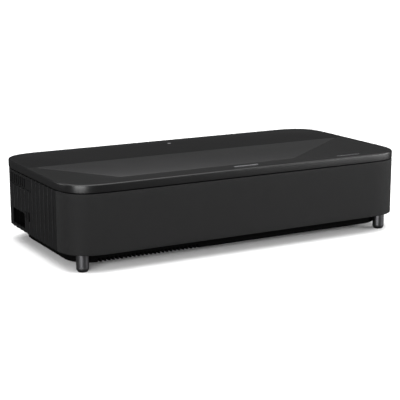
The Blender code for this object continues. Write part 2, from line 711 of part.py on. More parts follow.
def make_door():
    """A wedge-shaped panel that lies over the deck and slides back along it on two arms."""
    slope = (RIDGE_TOP - RIM_TOP) / (CREASE_Y - RIDGE_Y)
    rear_y, front_y = CREASE_Y, RIDGE_Y + 0.0005
    side_gap = 0.0006
    outline = [
        (DOOR_REAR_LEFT + 0.012, rear_y),
        (DOOR_REAR_LEFT + 0.0035, rear_y - 0.0020),
        (DOOR_FRONT_LEFT + side_gap, front_y),
        (DOOR_FRONT_RIGHT - side_gap, front_y),
        (DOOR_REAR_RIGHT - 0.0080, rear_y - 0.0055),
        (DOOR_REAR_RIGHT - 0.014, rear_y),
    ]
    mesh_data = bmesh.new()
    low = [mesh_data.verts.new((x, y, DOOR_LOW)) for x, y in outline]
    high = [mesh_data.verts.new((x, y, RIM_TOP + (CREASE_Y - y) * slope)) for x, y in outline]
    mesh_data.faces.new(low)
    mesh_data.faces.new(high)
    for i in range(len(outline)):
        j = (i + 1) % len(outline)
        mesh_data.faces.new([low[i], low[j], high[j], high[i]])
    door = finish("lens_door", mesh_data, "case_black")
    y0, y1 = DOOR_ARM_Y
    for i, x in enumerate(DOOR_ARMS):
        join(door, boxes(f"door_arm_{i}", [(x - 0.0015, x + 0.0015, y0, y1, 0.1380, DOOR_LOW + 0.001)]))


RACK_MODULE = 0.001
PINION_TEETH = 16
PINION_Y, RACK_PITCH_Z = -0.0050, 0.1300
PINION_R = PINION_TEETH * RACK_MODULE / 2


def make_door_drive():
    """A toothed rack on the right arm and a motor with a pinion under it."""
    pitch = math.pi * RACK_MODULE
    tip, root = RACK_PITCH_Z - 0.8 * RACK_MODULE, RACK_PITCH_Z + 1.1 * RACK_MODULE
    lean = math.tan(PRESSURE_ANGLE)
    half = pitch / 4 - BACKLASH / 2
    y0, y1 = DOOR_ARM_Y[0], PINION_Y + 0.012
    rack_top = 0.1377
    outline = [(y0, rack_top), (y0, root)]
    first = math.ceil((y0 + 0.002 - PINION_Y - pitch / 2) / pitch)
    last = math.floor((y1 - 0.002 - PINION_Y - pitch / 2) / pitch)
    for i in range(first, last + 1):
        middle = PINION_Y + pitch / 2 + i * pitch
        foot, top = half + (root - RACK_PITCH_Z) * lean, half - (RACK_PITCH_Z - tip) * lean
        outline += [(middle - foot, root), (middle - top, tip), (middle + top, tip), (middle + foot, root)]
    outline += [(y1, root), (y1, rack_top)]
    prism("door_rack", outline, 0.0965, 0.1015, "gear_white", axis="x")
    pinion_z = RACK_PITCH_Z - PINION_R
    centre = (0, PINION_Y, pinion_z)
    # the tooth at the top, angle 90 degrees in the y, z plane, sits in a gap of the rack
    module, look = RACK_MODULE, "gear_white"
    pinion = gear("door_pinion", PINION_TEETH, module, math.pi / 2, 0.0968, 0.1012, look, "x", centre)
    cut(pinion, cylinder("pinion_bore", 0.0018, 0.09, 0.11, axis="x", centre=centre, steps=12))
    motor = cylinder("door_motor", 0.0100, 0.1040, 0.1340, "steel", axis="x", centre=centre, steps=20)
    join(motor, cylinder("motor_shaft", 0.0015, 0.0950, 0.1050, axis="x", centre=centre, steps=12))
    ears = (0.1040, 0.1060, PINION_Y - 0.017, PINION_Y + 0.017, pinion_z - 0.005, pinion_z + 0.005)
    join(motor, boxes("motor_ears", [ears]))


def make_lid_trim():
    """Windows for the picture, the status light and the rear sensor, and a plain strip on the front band."""
    x0, x1, y0, y1 = WINDOW
    lap = 0.005
    glass = (x0 - lap, x1 + lap, y0 - lap, y1 + lap, 0.1472, 0.1492)
    boxes("projection_window", [glass], "window_glass")
    boxes("status_light", [(*STATUS_SLIT, 0.1500, 0.1552)], "window_glass")
    profile = [(0, 0.1470), (SENSOR_R, 0.1470), (SENSOR_R, 0.1521), (0.0032, 0.1528), (0, 0.1531)]
    turned("rear_sensor", profile, "window_glass", centre=SENSOR, steps=20)
    slope = (RIDGE_TOP - RIM_TOP) / (HALF_D - RIM_INSET + RIDGE_Y)
    float_up, thick = 0.0003, 0.0004
    low = [(y, RIDGE_TOP + (y - RIDGE_Y) * slope + float_up) for y in (-0.1556, -0.1520)]
    high = [(y, z + thick) for y, z in low]
    prism("badge_strip", low + high[::-1], -0.0230, 0.0260, "badge_grey", axis="x")


# ---------------------------------------------------------------- optics
def make_optics():
    x0, x1, y0, y1, z0, z1 = -0.206, 0.092, -0.132, -0.032, 0.048, 0.1468
    wall = 0.002
    bay = boxes("mirror_bay", [(x0, x1, y0, y1, z0, z1)], "base_black")
    hollow = (x0 + wall, x1 - wall, y0 + wall, y1 - wall, z0 + wall, 0.160)
    cut(bay, boxes("mirror_bay_hollow", [hollow]))
    cut(bay, cylinder("lens_port", 0.0286, -0.05, 0.0, axis="y", centre=(LENS_X, 0, LENS_Z), steps=32))

    # a concave mirror at the front of the bay throws the picture up and back
    across, up, bend, thick = 13, 8, 0.170, 0.003
    mesh_data = bmesh.new()
    sheets = []
    for offset in (0.0, -thick):
        rows = []
        for j in range(up):
            z = 0.054 + 0.084 * j / (up - 1)
            line = []
            for i in range(across):
                x = LENS_X + 0.090 * (2 * i / (across - 1) - 1)
                y = -0.1235 + ((x - LENS_X) ** 2 + (z - 0.066) ** 2) / (2 * bend)
                line.append(mesh_data.verts.new((x, y + offset, z)))
            rows.append(line)
        sheets.append(rows)
    for rows in sheets:
        for j in range(up - 1):
            for i in range(across - 1):
                mesh_data.faces.new([rows[j][i], rows[j][i + 1], rows[j + 1][i + 1], rows[j + 1][i]])
    a, b = sheets
    for j in range(up - 1):
        mesh_data.faces.new([a[j][0], a[j + 1][0], b[j + 1][0], b[j][0]])
        mesh_data.faces.new([a[j][-1], a[j + 1][-1], b[j + 1][-1], b[j][-1]])
    for i in range(across - 1):
        mesh_data.faces.new([a[0][i], a[0][i + 1], b[0][i + 1], b[0][i]])
        mesh_data.faces.new([a[-1][i], a[-1][i + 1], b[-1][i + 1], b[-1][i]])
    finish("curved_mirror", mesh_data, "mirror_silver", smooth=True)

    axis_at = (LENS_X, 0, LENS_Z)
    turned(
        "lens_barrel",
        [
            (0.0000, -0.0500), (0.0245, -0.0500), (0.0245, -0.0620), (0.0280, -0.0620), (0.0280, -0.0260),
            (0.0340, -0.0260), (0.0340, 0.0200), (0.0300, 0.0200), (0.0300, 0.0600), (0.0, 0.0600),
        ],
        "base_black", axis="y", centre=axis_at, steps=32,
    )
    glass_r, dome_y, dome_high = 0.0241, -0.0600, 0.0095
    dome = [(0.0, -0.0504), (glass_r, -0.0504), (glass_r, dome_y)]
    turn = (0.35, 0.75, 1.15)
    dome += [(glass_r * math.cos(t), dome_y - dome_high * math.sin(t)) for t in turn]
    dome.append((0.0, dome_y - dome_high))
    turned("front_lens", dome, "window_glass", axis="y", centre=axis_at, steps=28)
    make_focus(axis_at)
    block(
        "optical_engine", "inner_grey",
        (-0.110, -0.006, 0.0605, 0.088, 0.050, 0.128),
        (-0.128, -0.006, 0.086, 0.150, 0.056, 0.122),
        (-0.122, -0.070, 0.145, 0.160, 0.074, 0.118),
    )


FOCUS_RING_TEETH, FOCUS_PINION_TEETH, FOCUS_MODULE = 60, 14, 0.00125


def make_focus(axis_at):
    """A focus ring with teeth on one side, turned by a small motor's pinion."""
    ring_pitch_r = FOCUS_RING_TEETH * FOCUS_MODULE / 2
    pinion_pitch_r = FOCUS_PINION_TEETH * FOCUS_MODULE / 2
    step = 2 * math.pi / FOCUS_RING_TEETH
    root_r = ring_pitch_r - 1.15 * FOCUS_MODULE
    outline = []
    teeth = 14
    for i in range(teeth):
        outline += tooth(FOCUS_RING_TEETH, FOCUS_MODULE, (i - teeth / 2 + 0.5) * step)
    start = math.atan2(outline[-1][1], outline[-1][0])
    sweep = 2 * math.pi - 2 * start
    bare_steps = 22
    bare = [start + sweep * i / bare_steps for i in range(1, bare_steps)]
    outline += [(root_r * math.cos(t), root_r * math.sin(t)) for t in bare]
    ring = prism("focus_ring", outline, -0.016, -0.006, "base_black", axis="y")
    ring.location = axis_at
    cut(ring, cylinder("focus_ring_bore", 0.0344, -0.03, 0.01, axis="y", centre=axis_at, steps=32))
    centre = (LENS_X + ring_pitch_r + pinion_pitch_r, 0, LENS_Z)
    teeth = FOCUS_PINION_TEETH
    pinion = gear("focus_pinion", teeth, FOCUS_MODULE, math.pi, -0.0155, -0.0065, "gear_white", "y", centre)
    cut(pinion, cylinder("focus_bore", 0.0018, -0.03, 0.01, axis="y", centre=centre, steps=12))
    motor = cylinder("focus_motor", 0.0080, -0.0040, 0.0200, "steel", axis="y", centre=centre, steps=20)
    join(motor, cylinder("focus_shaft", 0.0015, -0.0175, 0.0, axis="y", centre=centre, steps=12))


def make_light_source():
    """The phosphor wheel on its motor, the laser module and the finned heat sink beside it."""
    axis_at = (0.0030, 0.104, 0.088)
    rim = [(0.0036, -0.0006), (0.0290, -0.0006), (0.0290, 0.0006), (0.0036, 0.0006)]
    turned("phosphor_wheel", rim, "phosphor_yellow", axis="x", centre=axis_at, steps=32)
    body = [(0, -0.004), (0.0032, -0.004), (0.0032, 0.0010), (0.0100, 0.0010), (0.0100, 0.0120), (0, 0.0120)]
    turned("wheel_motor", body, "steel", axis="x", centre=axis_at, steps=20)
    block(
        "laser_module", "inner_grey",
        (0.0160, 0.1080, 0.056, 0.146, 0.048, 0.112),
        (0.0300, 0.0900, 0.070, 0.130, 0.110, 0.122),
    )
    fins, pitch, thick = 13, 0.0082, 0.0022
    x0, foot, base, tip = 0.1120, 0.0460, 0.0520, 0.124
    outline = [(x0, foot), (x0 + (fins - 1) * pitch + thick, foot)]
    for i in reversed(range(fins)):
        left = x0 + i * pitch
        outline += [(left + thick, tip), (left, tip)]
        if i:
            outline += [(left, base), (left - pitch + thick, base)]
    prism("laser_heatsink", outline, 0.056, 0.146, "aluminium", axis="y")


# ---------------------------------------------------------------- fans
FAN_SIZE, FAN_DEPTH, FAN_BLADES = 0.078, 0.020, 7


def make_fan(label, x, y, z):
    """An axial fan across X: a square frame with a hub on three struts, and a bladed rotor."""
    half = FAN_SIZE / 2
    span = (x, x + FAN_DEPTH, y - half, y + half, z - half, z + half)
    frame = boxes(f"fan_frame_{label}", [span], "base_black")
    centre = (0, y, z)
    low, high = x - 0.01, x + FAN_DEPTH + 0.01
    cut(frame, cylinder(f"fan_bore_{label}", 0.0362, low, high, axis="x", centre=centre, steps=32))
    join(frame, cylinder(f"fan_hub_{label}", 0.0150, x, x + 0.0030, axis="x", centre=centre, steps=16))
    for i in range(3):
        angle = 2 * math.pi * i / 3 + 0.3
        strut = boxes(f"fan_strut_{label}_{i}", [(x, x + 0.0025, 0.010, 0.0375, -0.0015, 0.0015)])
        strut.location = centre
        strut.rotation_euler = (angle, 0, 0)
        join(frame, strut)
    low, high = x + 0.0045, x + FAN_DEPTH - 0.001
    rotor = cylinder(f"fan_rotor_{label}", 0.0145, low, high, "base_black", axis="x", centre=centre, steps=20)
    mesh_data = bmesh.new()
    for i in range(FAN_BLADES):
        start = 2 * math.pi * i / FAN_BLADES
        sides = []
        for r, twist in ((0.0135, 0.0), (0.0250, 0.10), (0.0345, 0.16)):
            span = 0.36 if r > 0.02 else 0.50
            for shift in (0.0, 0.0012 / r):
                a0, a1 = start + twist - span + shift, start + twist + span * 0.6 + shift
                near = (low + 0.001, r * math.cos(a0), r * math.sin(a0))
                far = (high - 0.001, r * math.cos(a1), r * math.sin(a1))
                sides.append([near, far])
        points = [[mesh_data.verts.new(p) for p in pair] for pair in sides]
        for k in (0, 2):
            a, b, c, d = points[k], points[k + 2], points[k + 1], points[k + 3]
            mesh_data.faces.new([a[0], a[1], b[1], b[0]])
            mesh_data.faces.new([c[0], d[0], d[1], c[1]])
            mesh_data.faces.new([a[0], b[0], d[0], c[0]])
            mesh_data.faces.new([a[1], c[1], d[1], b[1]])
        mesh_data.faces.new([points[0][0], points[1][0], points[1][1], points[0][1]])
        mesh_data.faces.new([points[4][0], points[4][1], points[5][1], points[5][0]])
    join(rotor, finish(f"fan_blades_{label}", mesh_data, None, location=centre))


# ---------------------------------------------------------------- speakers
SPEAKER_X, SPEAKER_Z, SPEAKER_FRONT = 0.246, 0.087, -0.1651


def make_speaker(label, side):
    centre = (side * SPEAKER_X, SPEAKER_FRONT, SPEAKER_Z)
    turned(
        f"speaker_basket_{label}",
        [
            (0.0330, 0.0), (0.0335, 0.0), (0.0345, 0.0), (0.0345, 0.0025), (0.0310, 0.0030),
            (0.0190, 0.0210), (0.0250, 0.0215), (0.0250, 0.0380), (0.0, 0.0380), (0.0, 0.0220),
            (0.0125, 0.0205), (0.0300, 0.0026), (0.0310, 0.0010),
        ],
        "steel", axis="y", centre=centre, steps=24,
    )
    turned(
        f"speaker_cone_{label}",
        [
            (0.0, 0.0110), (0.0085, 0.0150), (0.0272, 0.0030), (0.0285, 0.0024), (0.0285, 0.0030),
            (0.0270, 0.0040), (0.0085, 0.0165), (0.0, 0.0165),
        ],
        "rubber_black", axis="y", centre=centre, steps=24,
    )


# ---------------------------------------------------------------- boards
def make_boards():
    block(
        "main_board", "board_green",
        (-0.285, -0.135, -0.030, 0.072, 0.0430, 0.0446),
        (-0.240, -0.200, 0.000, 0.040, 0.0440, 0.0560),
        (-0.180, -0.150, 0.010, 0.060, 0.0440, 0.0520),
        (-0.270, -0.250, -0.020, 0.060, 0.0440, 0.0500),
        (-0.230, -0.226, 0.060, 0.064, 0.0349, 0.0440),
    )
    block(
        "power_board", "board_green",
        (0.145, 0.285, -0.110, 0.040, 0.0430, 0.0446),
        (0.160, 0.200, -0.090, -0.050, 0.0440, 0.0750),
        (0.215, 0.250, -0.095, -0.050, 0.0440, 0.0680),
        (0.160, 0.230, 0.000, 0.030, 0.0440, 0.0640),
        (0.250, 0.254, 0.020, 0.024, 0.0349, 0.0440),
    )


# ---------------------------------------------------------------- build
clear_scene()
make_base()
for foot_label, foot_side in (("left", -1), ("right", 1)):
    make_front_foot(foot_label, foot_side)
make_bottom_case()
make_front()
make_side("left", -1)
make_side("right", 1)
make_filter_door()
make_rear()
make_cable_bay()
make_sockets()
make_lid()
make_door()
make_door_drive()
make_lid_trim()
make_optics()
make_light_source()
make_fan("intake", 0.300, 0.0, 0.086)
make_fan("exhaust_front", -0.335, -0.060, 0.090)
make_fan("exhaust_rear", 0.240, 0.105, 0.086)
for speaker_label, speaker_side in (("left", -1), ("right", 1)):
    make_speaker(speaker_label, speaker_side)
make_boards()
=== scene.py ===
"""Home projector: the finished looks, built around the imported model."""

import json
import math

import bmesh
import bpy
from mathutils import Matrix, Vector


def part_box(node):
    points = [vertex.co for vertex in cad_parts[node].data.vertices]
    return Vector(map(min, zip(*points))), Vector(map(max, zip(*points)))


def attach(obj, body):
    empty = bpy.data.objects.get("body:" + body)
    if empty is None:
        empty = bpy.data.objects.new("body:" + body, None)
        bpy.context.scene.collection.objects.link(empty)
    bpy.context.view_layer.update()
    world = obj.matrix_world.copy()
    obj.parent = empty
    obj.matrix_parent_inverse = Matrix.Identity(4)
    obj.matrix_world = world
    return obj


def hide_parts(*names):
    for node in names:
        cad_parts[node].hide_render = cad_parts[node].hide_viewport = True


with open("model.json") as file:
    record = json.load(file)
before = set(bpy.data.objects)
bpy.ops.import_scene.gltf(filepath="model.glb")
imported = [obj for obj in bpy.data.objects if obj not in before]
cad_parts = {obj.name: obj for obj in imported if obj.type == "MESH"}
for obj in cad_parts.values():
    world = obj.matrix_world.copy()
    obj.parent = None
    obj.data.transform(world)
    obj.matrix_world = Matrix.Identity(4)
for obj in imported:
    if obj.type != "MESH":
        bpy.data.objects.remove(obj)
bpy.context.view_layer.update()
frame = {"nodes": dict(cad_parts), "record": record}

# ------------------------------------------------------------------------------------------------
# Camera. A long lens a little above the cabinet, off its front left corner.
# It is aimed at the middle of the cabinet, a little below half its height.
VIEW_TURN, VIEW_LIFT, VIEW_ROLL = (math.radians(a) for a in (-28.968, 12.617, -0.112))
VIEW_DISTANCE, VIEW_LENS = 2.2065, 103.59
VIEW_AIM = Vector((-0.0079, 0.0, 0.0634))

level = Vector((math.cos(VIEW_TURN), math.sin(VIEW_TURN), 0))
back = Vector((
    math.sin(VIEW_TURN) * math.cos(VIEW_LIFT), -math.cos(VIEW_TURN) * math.cos(VIEW_LIFT), math.sin(VIEW_LIFT)
))
upward = back.cross(level)
across = level * math.cos(VIEW_ROLL) + upward * math.sin(VIEW_ROLL)
camera = bpy.data.objects.new("camera", bpy.data.cameras.new("camera"))
bpy.context.scene.collection.objects.link(camera)
camera.data.lens, camera.data.sensor_width = VIEW_LENS, 36.0
turn = Matrix((across, back.cross(across), back)).transposed().to_4x4()
camera.matrix_world = Matrix.Translation(VIEW_AIM + back * VIEW_DISTANCE) @ turn
bpy.context.scene.camera = camera

# ------------------------------------------------------------------------------------------------
# Base slab. A shallow black moulding under the cabinet that holds its weight off the table.
# It is injection moulded in one piece, matt and unpainted, with an air comb in its front lower edge.


def soft_outline(low, high, reach, power, steps):
    """A rectangle in plan with soft corners; power 2 is round, more is squarer."""
    quarter = [math.pi / 2 * i / steps for i in range(steps + 1)]
    bend = [(reach * math.cos(t) ** (2 / power), reach * math.sin(t) ** (2 / power)) for t in quarter]
    points = []
    for x, y, sx, sy in (
        (high[0] - reach, low[1] + reach, 1, -1), (high[0] - reach, high[1] - reach, 1, 1),
        (low[0] + reach, high[1] - reach, -1, 1), (low[0] + reach, low[1] + reach, -1, -1),
    ):
        corner = [(x + sx * a, y + sy * b) for a, b in bend]
        points += corner if sx * sy > 0 else corner[::-1]
    return points


def fillet(radius, steps, rising):
    """(inset, height) pairs of a quarter round edge, rising from a wall or from a flat."""
    turns = [math.pi / 2 * i / steps for i in range(steps + 1)]
    if rising:
        return [(radius * (1 - math.cos(t)), radius * (math.sin(t) - 1)) for t in turns]
    return [(radius * (1 - math.sin(t)), radius * (1 - math.cos(t))) for t in turns]


def loft(name, rings):
    """A closed skin over rings of equally many points."""
    data = bmesh.new()
    rows = [[data.verts.new(point) for point in ring] for ring in rings]
    for lower, upper in zip(rows, rows[1:]):
        for i in range(len(lower)):
            j = (i + 1) % len(lower)
            data.faces.new([lower[i], lower[j], upper[j], upper[i]])
    data.faces.new(rows[0][::-1])
    data.faces.new(rows[-1])
    return settle(name, data)


def settle(name, data, sharp=30):
    """Turns a bmesh into a shaded mesh whose faces point outwards."""
    bmesh.ops.remove_doubles(data, verts=data.verts, dist=1e-6)
    bmesh.ops.recalc_face_normals(data, faces=data.faces)
    mesh = bpy.data.meshes.new(name)
    data.to_mesh(mesh)
    data.free()
    mesh.shade_smooth()
    mesh.set_sharp_from_angle(angle=math.radians(sharp))
    return mesh


def block(name, low, high, round_by=0.0):
    """A box, with rounded edges where round_by is given."""
    data = bmesh.new()
    bmesh.ops.create_cube(data, size=1)
    for vert in data.verts:
        vert.co = Vector(a + (b - a) * (c + 0.5) for a, b, c in zip(low, high, vert.co))
    if round_by:
        bmesh.ops.bevel(data, geom=data.edges[:], offset=round_by, segments=2, affect="EDGES")
    return settle(name, data)


def placed(mesh):
    """A piece that shows a mesh."""
    piece = bpy.data.objects.new(mesh.name, mesh)
    bpy.context.scene.collection.objects.link(piece)
    return piece


def harden(piece):
    """Applies the piece's modifiers to its mesh."""
    graph = bpy.context.evaluated_depsgraph_get()
    mesh = bpy.data.meshes.new_from_object(piece.evaluated_get(graph))
    mesh.name = piece.name
    piece.modifiers.clear()
    piece.data = mesh
    mesh.shade_smooth()
    mesh.set_sharp_from_angle(angle=math.radians(30))
    return piece


def carve(piece, cutters, operation="DIFFERENCE"):
    """Cuts solids, given as meshes, out of a piece, or keeps only what lies inside them."""
    for cutter in cutters:
        tool = placed(cutter)
        step = piece.modifiers.new("carve", "BOOLEAN")
        step.operation, step.object, step.solver = operation, tool, "EXACT"
        harden(piece)
        bpy.data.objects.remove(tool)
    return piece


def soften(piece, width, segments=2):
    """Rounds the sharp edges of a piece."""
    step = piece.modifiers.new("soften", "BEVEL")
    step.width, step.segments, step.limit_method = width, segments, "ANGLE"
    step.angle_limit, step.harden_normals = math.radians(35), False
    return harden(piece)


def moulded(name, colour, rough, grain=0.0007, depth=0.3, mottle=0.12, metallic=0.0, specular=0.5):
    """A moulded or painted skin: fine grain in the surface, slow drift in colour and sheen."""
    look = bpy.data.materials.new(name)
    look.use_nodes = True
    nodes, wire = look.node_tree.nodes, look.node_tree.links.new
    shader = nodes["Principled BSDF"]
    shader.inputs["Metallic"].default_value = metallic
    shader.inputs["Specular IOR Level"].default_value = specular
    place = nodes.new("ShaderNodeTexCoord")
    drift = nodes.new("ShaderNodeTexNoise")
    drift.inputs["Scale"].default_value = 17.0
    drift.inputs["Detail"].default_value = 5.0
    wire(place.outputs["Object"], drift.inputs["Vector"])
    tint = nodes.new("ShaderNodeValToRGB")
    tint.color_ramp.elements[0].position, tint.color_ramp.elements[1].position = 0.3, 0.7
    tint.color_ramp.elements[0].color = (*(c * (1 - mottle) for c in colour), 1)
    tint.color_ramp.elements[1].color = (*(min(1, c * (1 + mottle)) for c in colour), 1)
    wire(drift.outputs["Fac"], tint.inputs["Fac"])
    wire(tint.outputs["Color"], shader.inputs["Base Color"])
    pebble = nodes.new("ShaderNodeTexNoise")
    pebble.inputs["Scale"].default_value = 1 / grain
    pebble.inputs["Detail"].default_value = 3.0
    wire(place.outputs["Object"], pebble.inputs["Vector"])
    sheen = nodes.new("ShaderNodeMapRange")
    sheen.inputs["To Min"].default_value, sheen.inputs["To Max"].default_value = rough - 0.07, rough + 0.07
    wire(pebble.outputs["Fac"], sheen.inputs["Value"])
    wire(sheen.outputs["Result"], shader.inputs["Roughness"])
    bump = nodes.new("ShaderNodeBump")
    bump.inputs["Strength"].default_value = depth
    bump.inputs["Distance"].default_value = grain * 0.25
    wire(pebble.outputs["Fac"], bump.inputs["Height"])
    wire(bump.outputs["Normal"], shader.inputs["Normal"])
    return look


def dress(piece, look, body, slot, *stands_for):
    """Gives a piece its finish and its place in the model."""
    piece.data.materials.clear()
    piece.data.materials.append(look)
    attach(piece, body)
    if stands_for:
        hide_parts(*stands_for)


def repeat_tree():
    """A node tree that repeats the mesh that it is given along a step, and gives it a material."""
    tree = bpy.data.node_groups.new("repeat_in_a_row", "GeometryNodeTree")
    new_socket = tree.interface.new_socket
    new_socket("Geometry", in_out="INPUT", socket_type="NodeSocketGeometry")
    count = new_socket("Count", in_out="INPUT", socket_type="NodeSocketInt")
    step = new_socket("Step", in_out="INPUT", socket_type="NodeSocketVector")
    finish = new_socket("Finish", in_out="INPUT", socket_type="NodeSocketMaterial")
    new_socket("Geometry", in_out="OUTPUT", socket_type="NodeSocketGeometry")
    nodes, wire = tree.nodes, tree.links.new
    given, result = nodes.new("NodeGroupInput"), nodes.new("NodeGroupOutput")
    row = nodes.new("GeometryNodeMeshLine")
    wire(given.outputs["Count"], row.inputs["Count"])
    wire(given.outputs["Step"], row.inputs["Offset"])
    copies = nodes.new("GeometryNodeInstanceOnPoints")
    wire(row.outputs["Mesh"], copies.inputs["Points"])
    wire(given.outputs["Geometry"], copies.inputs["Instance"])
    real = nodes.new("GeometryNodeRealizeInstances")
    wire(copies.outputs["Instances"], real.inputs["Geometry"])
    paint = nodes.new("GeometryNodeSetMaterial")
    wire(real.outputs["Geometry"], paint.inputs["Geometry"])
    wire(given.outputs["Finish"], paint.inputs["Material"])
    wire(paint.outputs["Geometry"], result.inputs["Geometry"])
    return tree, count.identifier, step.identifier, finish.identifier


REPEAT, REPEAT_COUNT, REPEAT_STEP, REPEAT_FINISH = repeat_tree()


def repeat(mesh, count, step, look):
    """A row of equal shapes as one piece."""
    piece = placed(mesh)
    row = piece.modifiers.new("row", "NODES")
    row.node_group = REPEAT
    row[REPEAT_COUNT], row[REPEAT_STEP], row[REPEAT_FINISH] = count, step, look
    piece.data.update()
    return harden(piece)


def disc(name, radius, low, high, centre=(0, 0), steps=32):
    """A round bar along Z."""
    turns = [2 * math.pi * i / steps for i in range(steps)]
    ring = [(centre[0] + radius * math.cos(t), centre[1] + radius * math.sin(t)) for t in turns]
    return loft(name, [[(x, y, z) for x, y in ring] for z in (low, high)])


SLAB_REACH, SLAB_EDGE, SLAB_SKIN = 0.049, 0.0018, 0.0028
BOSS_X, BOSS_Y, BOSS_R, BOSS_HOLE_R, BOSS_DROP = 0.160, 0.085, 0.008, 0.0022, 0.0015
WELL_X, WELL_Y, WELL_R, WELL_DEEP = 0.240, 0.020, 0.0042, 0.0055
COMB_FIRST, COMB_PITCH, COMB_TEETH = -0.278, 0.008, 24
COMB_TOOTH, COMB_DEEP, COMB_TALL = 0.0038, 0.014, 0.007
black_base = moulded(
    "matt black base", (0.0012, 0.0012, 0.0012), 0.62, grain=0.0009, depth=0.15, specular=0.04
)
slab_low, slab_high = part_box("base_slab")
slab_floor = slab_low.z + BOSS_DROP
levels = [(i, slab_floor + z) for i, z in fillet(SLAB_EDGE, 4, False)] + [(0, slab_high.z)]
slab = placed(loft("base_slab_skin", [
    [(x, y, z) for x, y in soft_outline(
        (slab_low.x + inset, slab_low.y + inset), (slab_high.x - inset, slab_high.y - inset),
        SLAB_REACH - inset, 2, 16,
    )] for inset, z in levels
]))
comb_end = COMB_FIRST + (COMB_TEETH - 1) * COMB_PITCH
carve(slab, [
    block(
        "hollow", (slab_low.x + 0.03, slab_low.y + 0.018, slab_floor + SLAB_SKIN),
        (slab_high.x - 0.03, slab_high.y - 0.01, 0.05),
    ),
    block(
        "comb_room", (COMB_FIRST - 0.006, slab_low.y - 0.01, 0),
        (comb_end + 0.006, slab_low.y + COMB_DEEP, slab_floor + COMB_TALL),
    ),
    *[disc("well", WELL_R, 0, slab_floor + WELL_DEEP, (side * WELL_X, WELL_Y), 20) for side in (-1, 1)],
])
for index, (sx, sy) in enumerate(((-1, -1), (1, -1), (1, 1), (-1, 1))):
    spot = (sx * BOSS_X, sy * BOSS_Y)
    boss = placed(disc(f"bracket_boss_{index}", BOSS_R, slab_low.z, slab_floor + 0.002, spot))
    carve(boss, [disc("boss_hole", BOSS_HOLE_R, 0, slab_floor + 0.006, spot, 16)])
    dress(soften(boss, 0.0004), black_base, "cabinet", "base_black")
dress(slab, black_base, "cabinet", "base_black", "base_slab")
tooth = block(
    "comb_tooth", (COMB_FIRST - COMB_TOOTH / 2, slab_low.y + 0.0002, slab_floor + 0.0002),
    (COMB_FIRST + COMB_TOOTH / 2, slab_low.y + COMB_DEEP + 0.001, slab_floor + COMB_TALL + 0.001), 0.0006,
)
comb = repeat(tooth, COMB_TEETH, (COMB_PITCH, 0, 0), black_base)
comb.name = "air_comb"
dress(comb, black_base, "cabinet", "base_black")

# ------------------------------------------------------------------------------------------------
# Feet. The two front ones are dark polished sleeves that screw in and out over a still rubber pad.
# The rear ones are plain rubber buttons. Screws that close the base sit in wells.


def turned(name, profile, centre, axis="z", steps=40):
    """A profile of (radius, height) points turned round an axis through centre."""
    data = bmesh.new()
    rows = []
    for radius, height in profile:
        ring = []
        for i in range(steps if radius > 1e-7 else 1):
            t = 2 * math.pi * i / steps
            a, b = radius * math.cos(t), radius * math.sin(t)
            place = {"z": (a, b, height), "x": (height, a, b), "y": (a, height, b)}[axis]
            ring.append(data.verts.new(Vector(centre) + Vector(place)))
        rows.append(ring)
    for a, b in zip(rows, rows[1:] + rows[:1]):
        if len(a) == 1 and len(b) == 1:
            continue
        for i in range(steps):
            j = (i + 1) % steps
            corners = [a[i % len(a)], a[j % len(a)], b[j % len(b)], b[i % len(b)]]
            data.faces.new([v for k, v in enumerate(corners) if v not in corners[:k]])
    return settle(name, data)


def brushed(name, colour, rough, stretch=(60, 60, 2600)):
    """Bare or plated metal with fine lines left by the tool."""
    look = moulded(name, colour, rough, grain=0.002, depth=0.05, mottle=0.06, metallic=1.0)
    nodes, wire = look.node_tree.nodes, look.node_tree.links.new
    lines = nodes.new("ShaderNodeTexNoise")
    lines.inputs["Scale"].default_value = 1.0
    spread = nodes.new("ShaderNodeMapping")
    spread.inputs["Scale"].default_value = stretch
    wire(nodes["Texture Coordinate"].outputs["Object"], spread.inputs["Vector"])
    wire(spread.outputs["Vector"], lines.inputs["Vector"])
    sheen = nodes["Map Range"]
    wire(lines.outputs["Fac"], sheen.inputs["Value"])
    bump = nodes["Bump"]
    bump.inputs["Strength"].default_value, bump.inputs["Distance"].default_value = 0.12, 0.00005
    wire(lines.outputs["Fac"], bump.inputs["Height"])
    return look


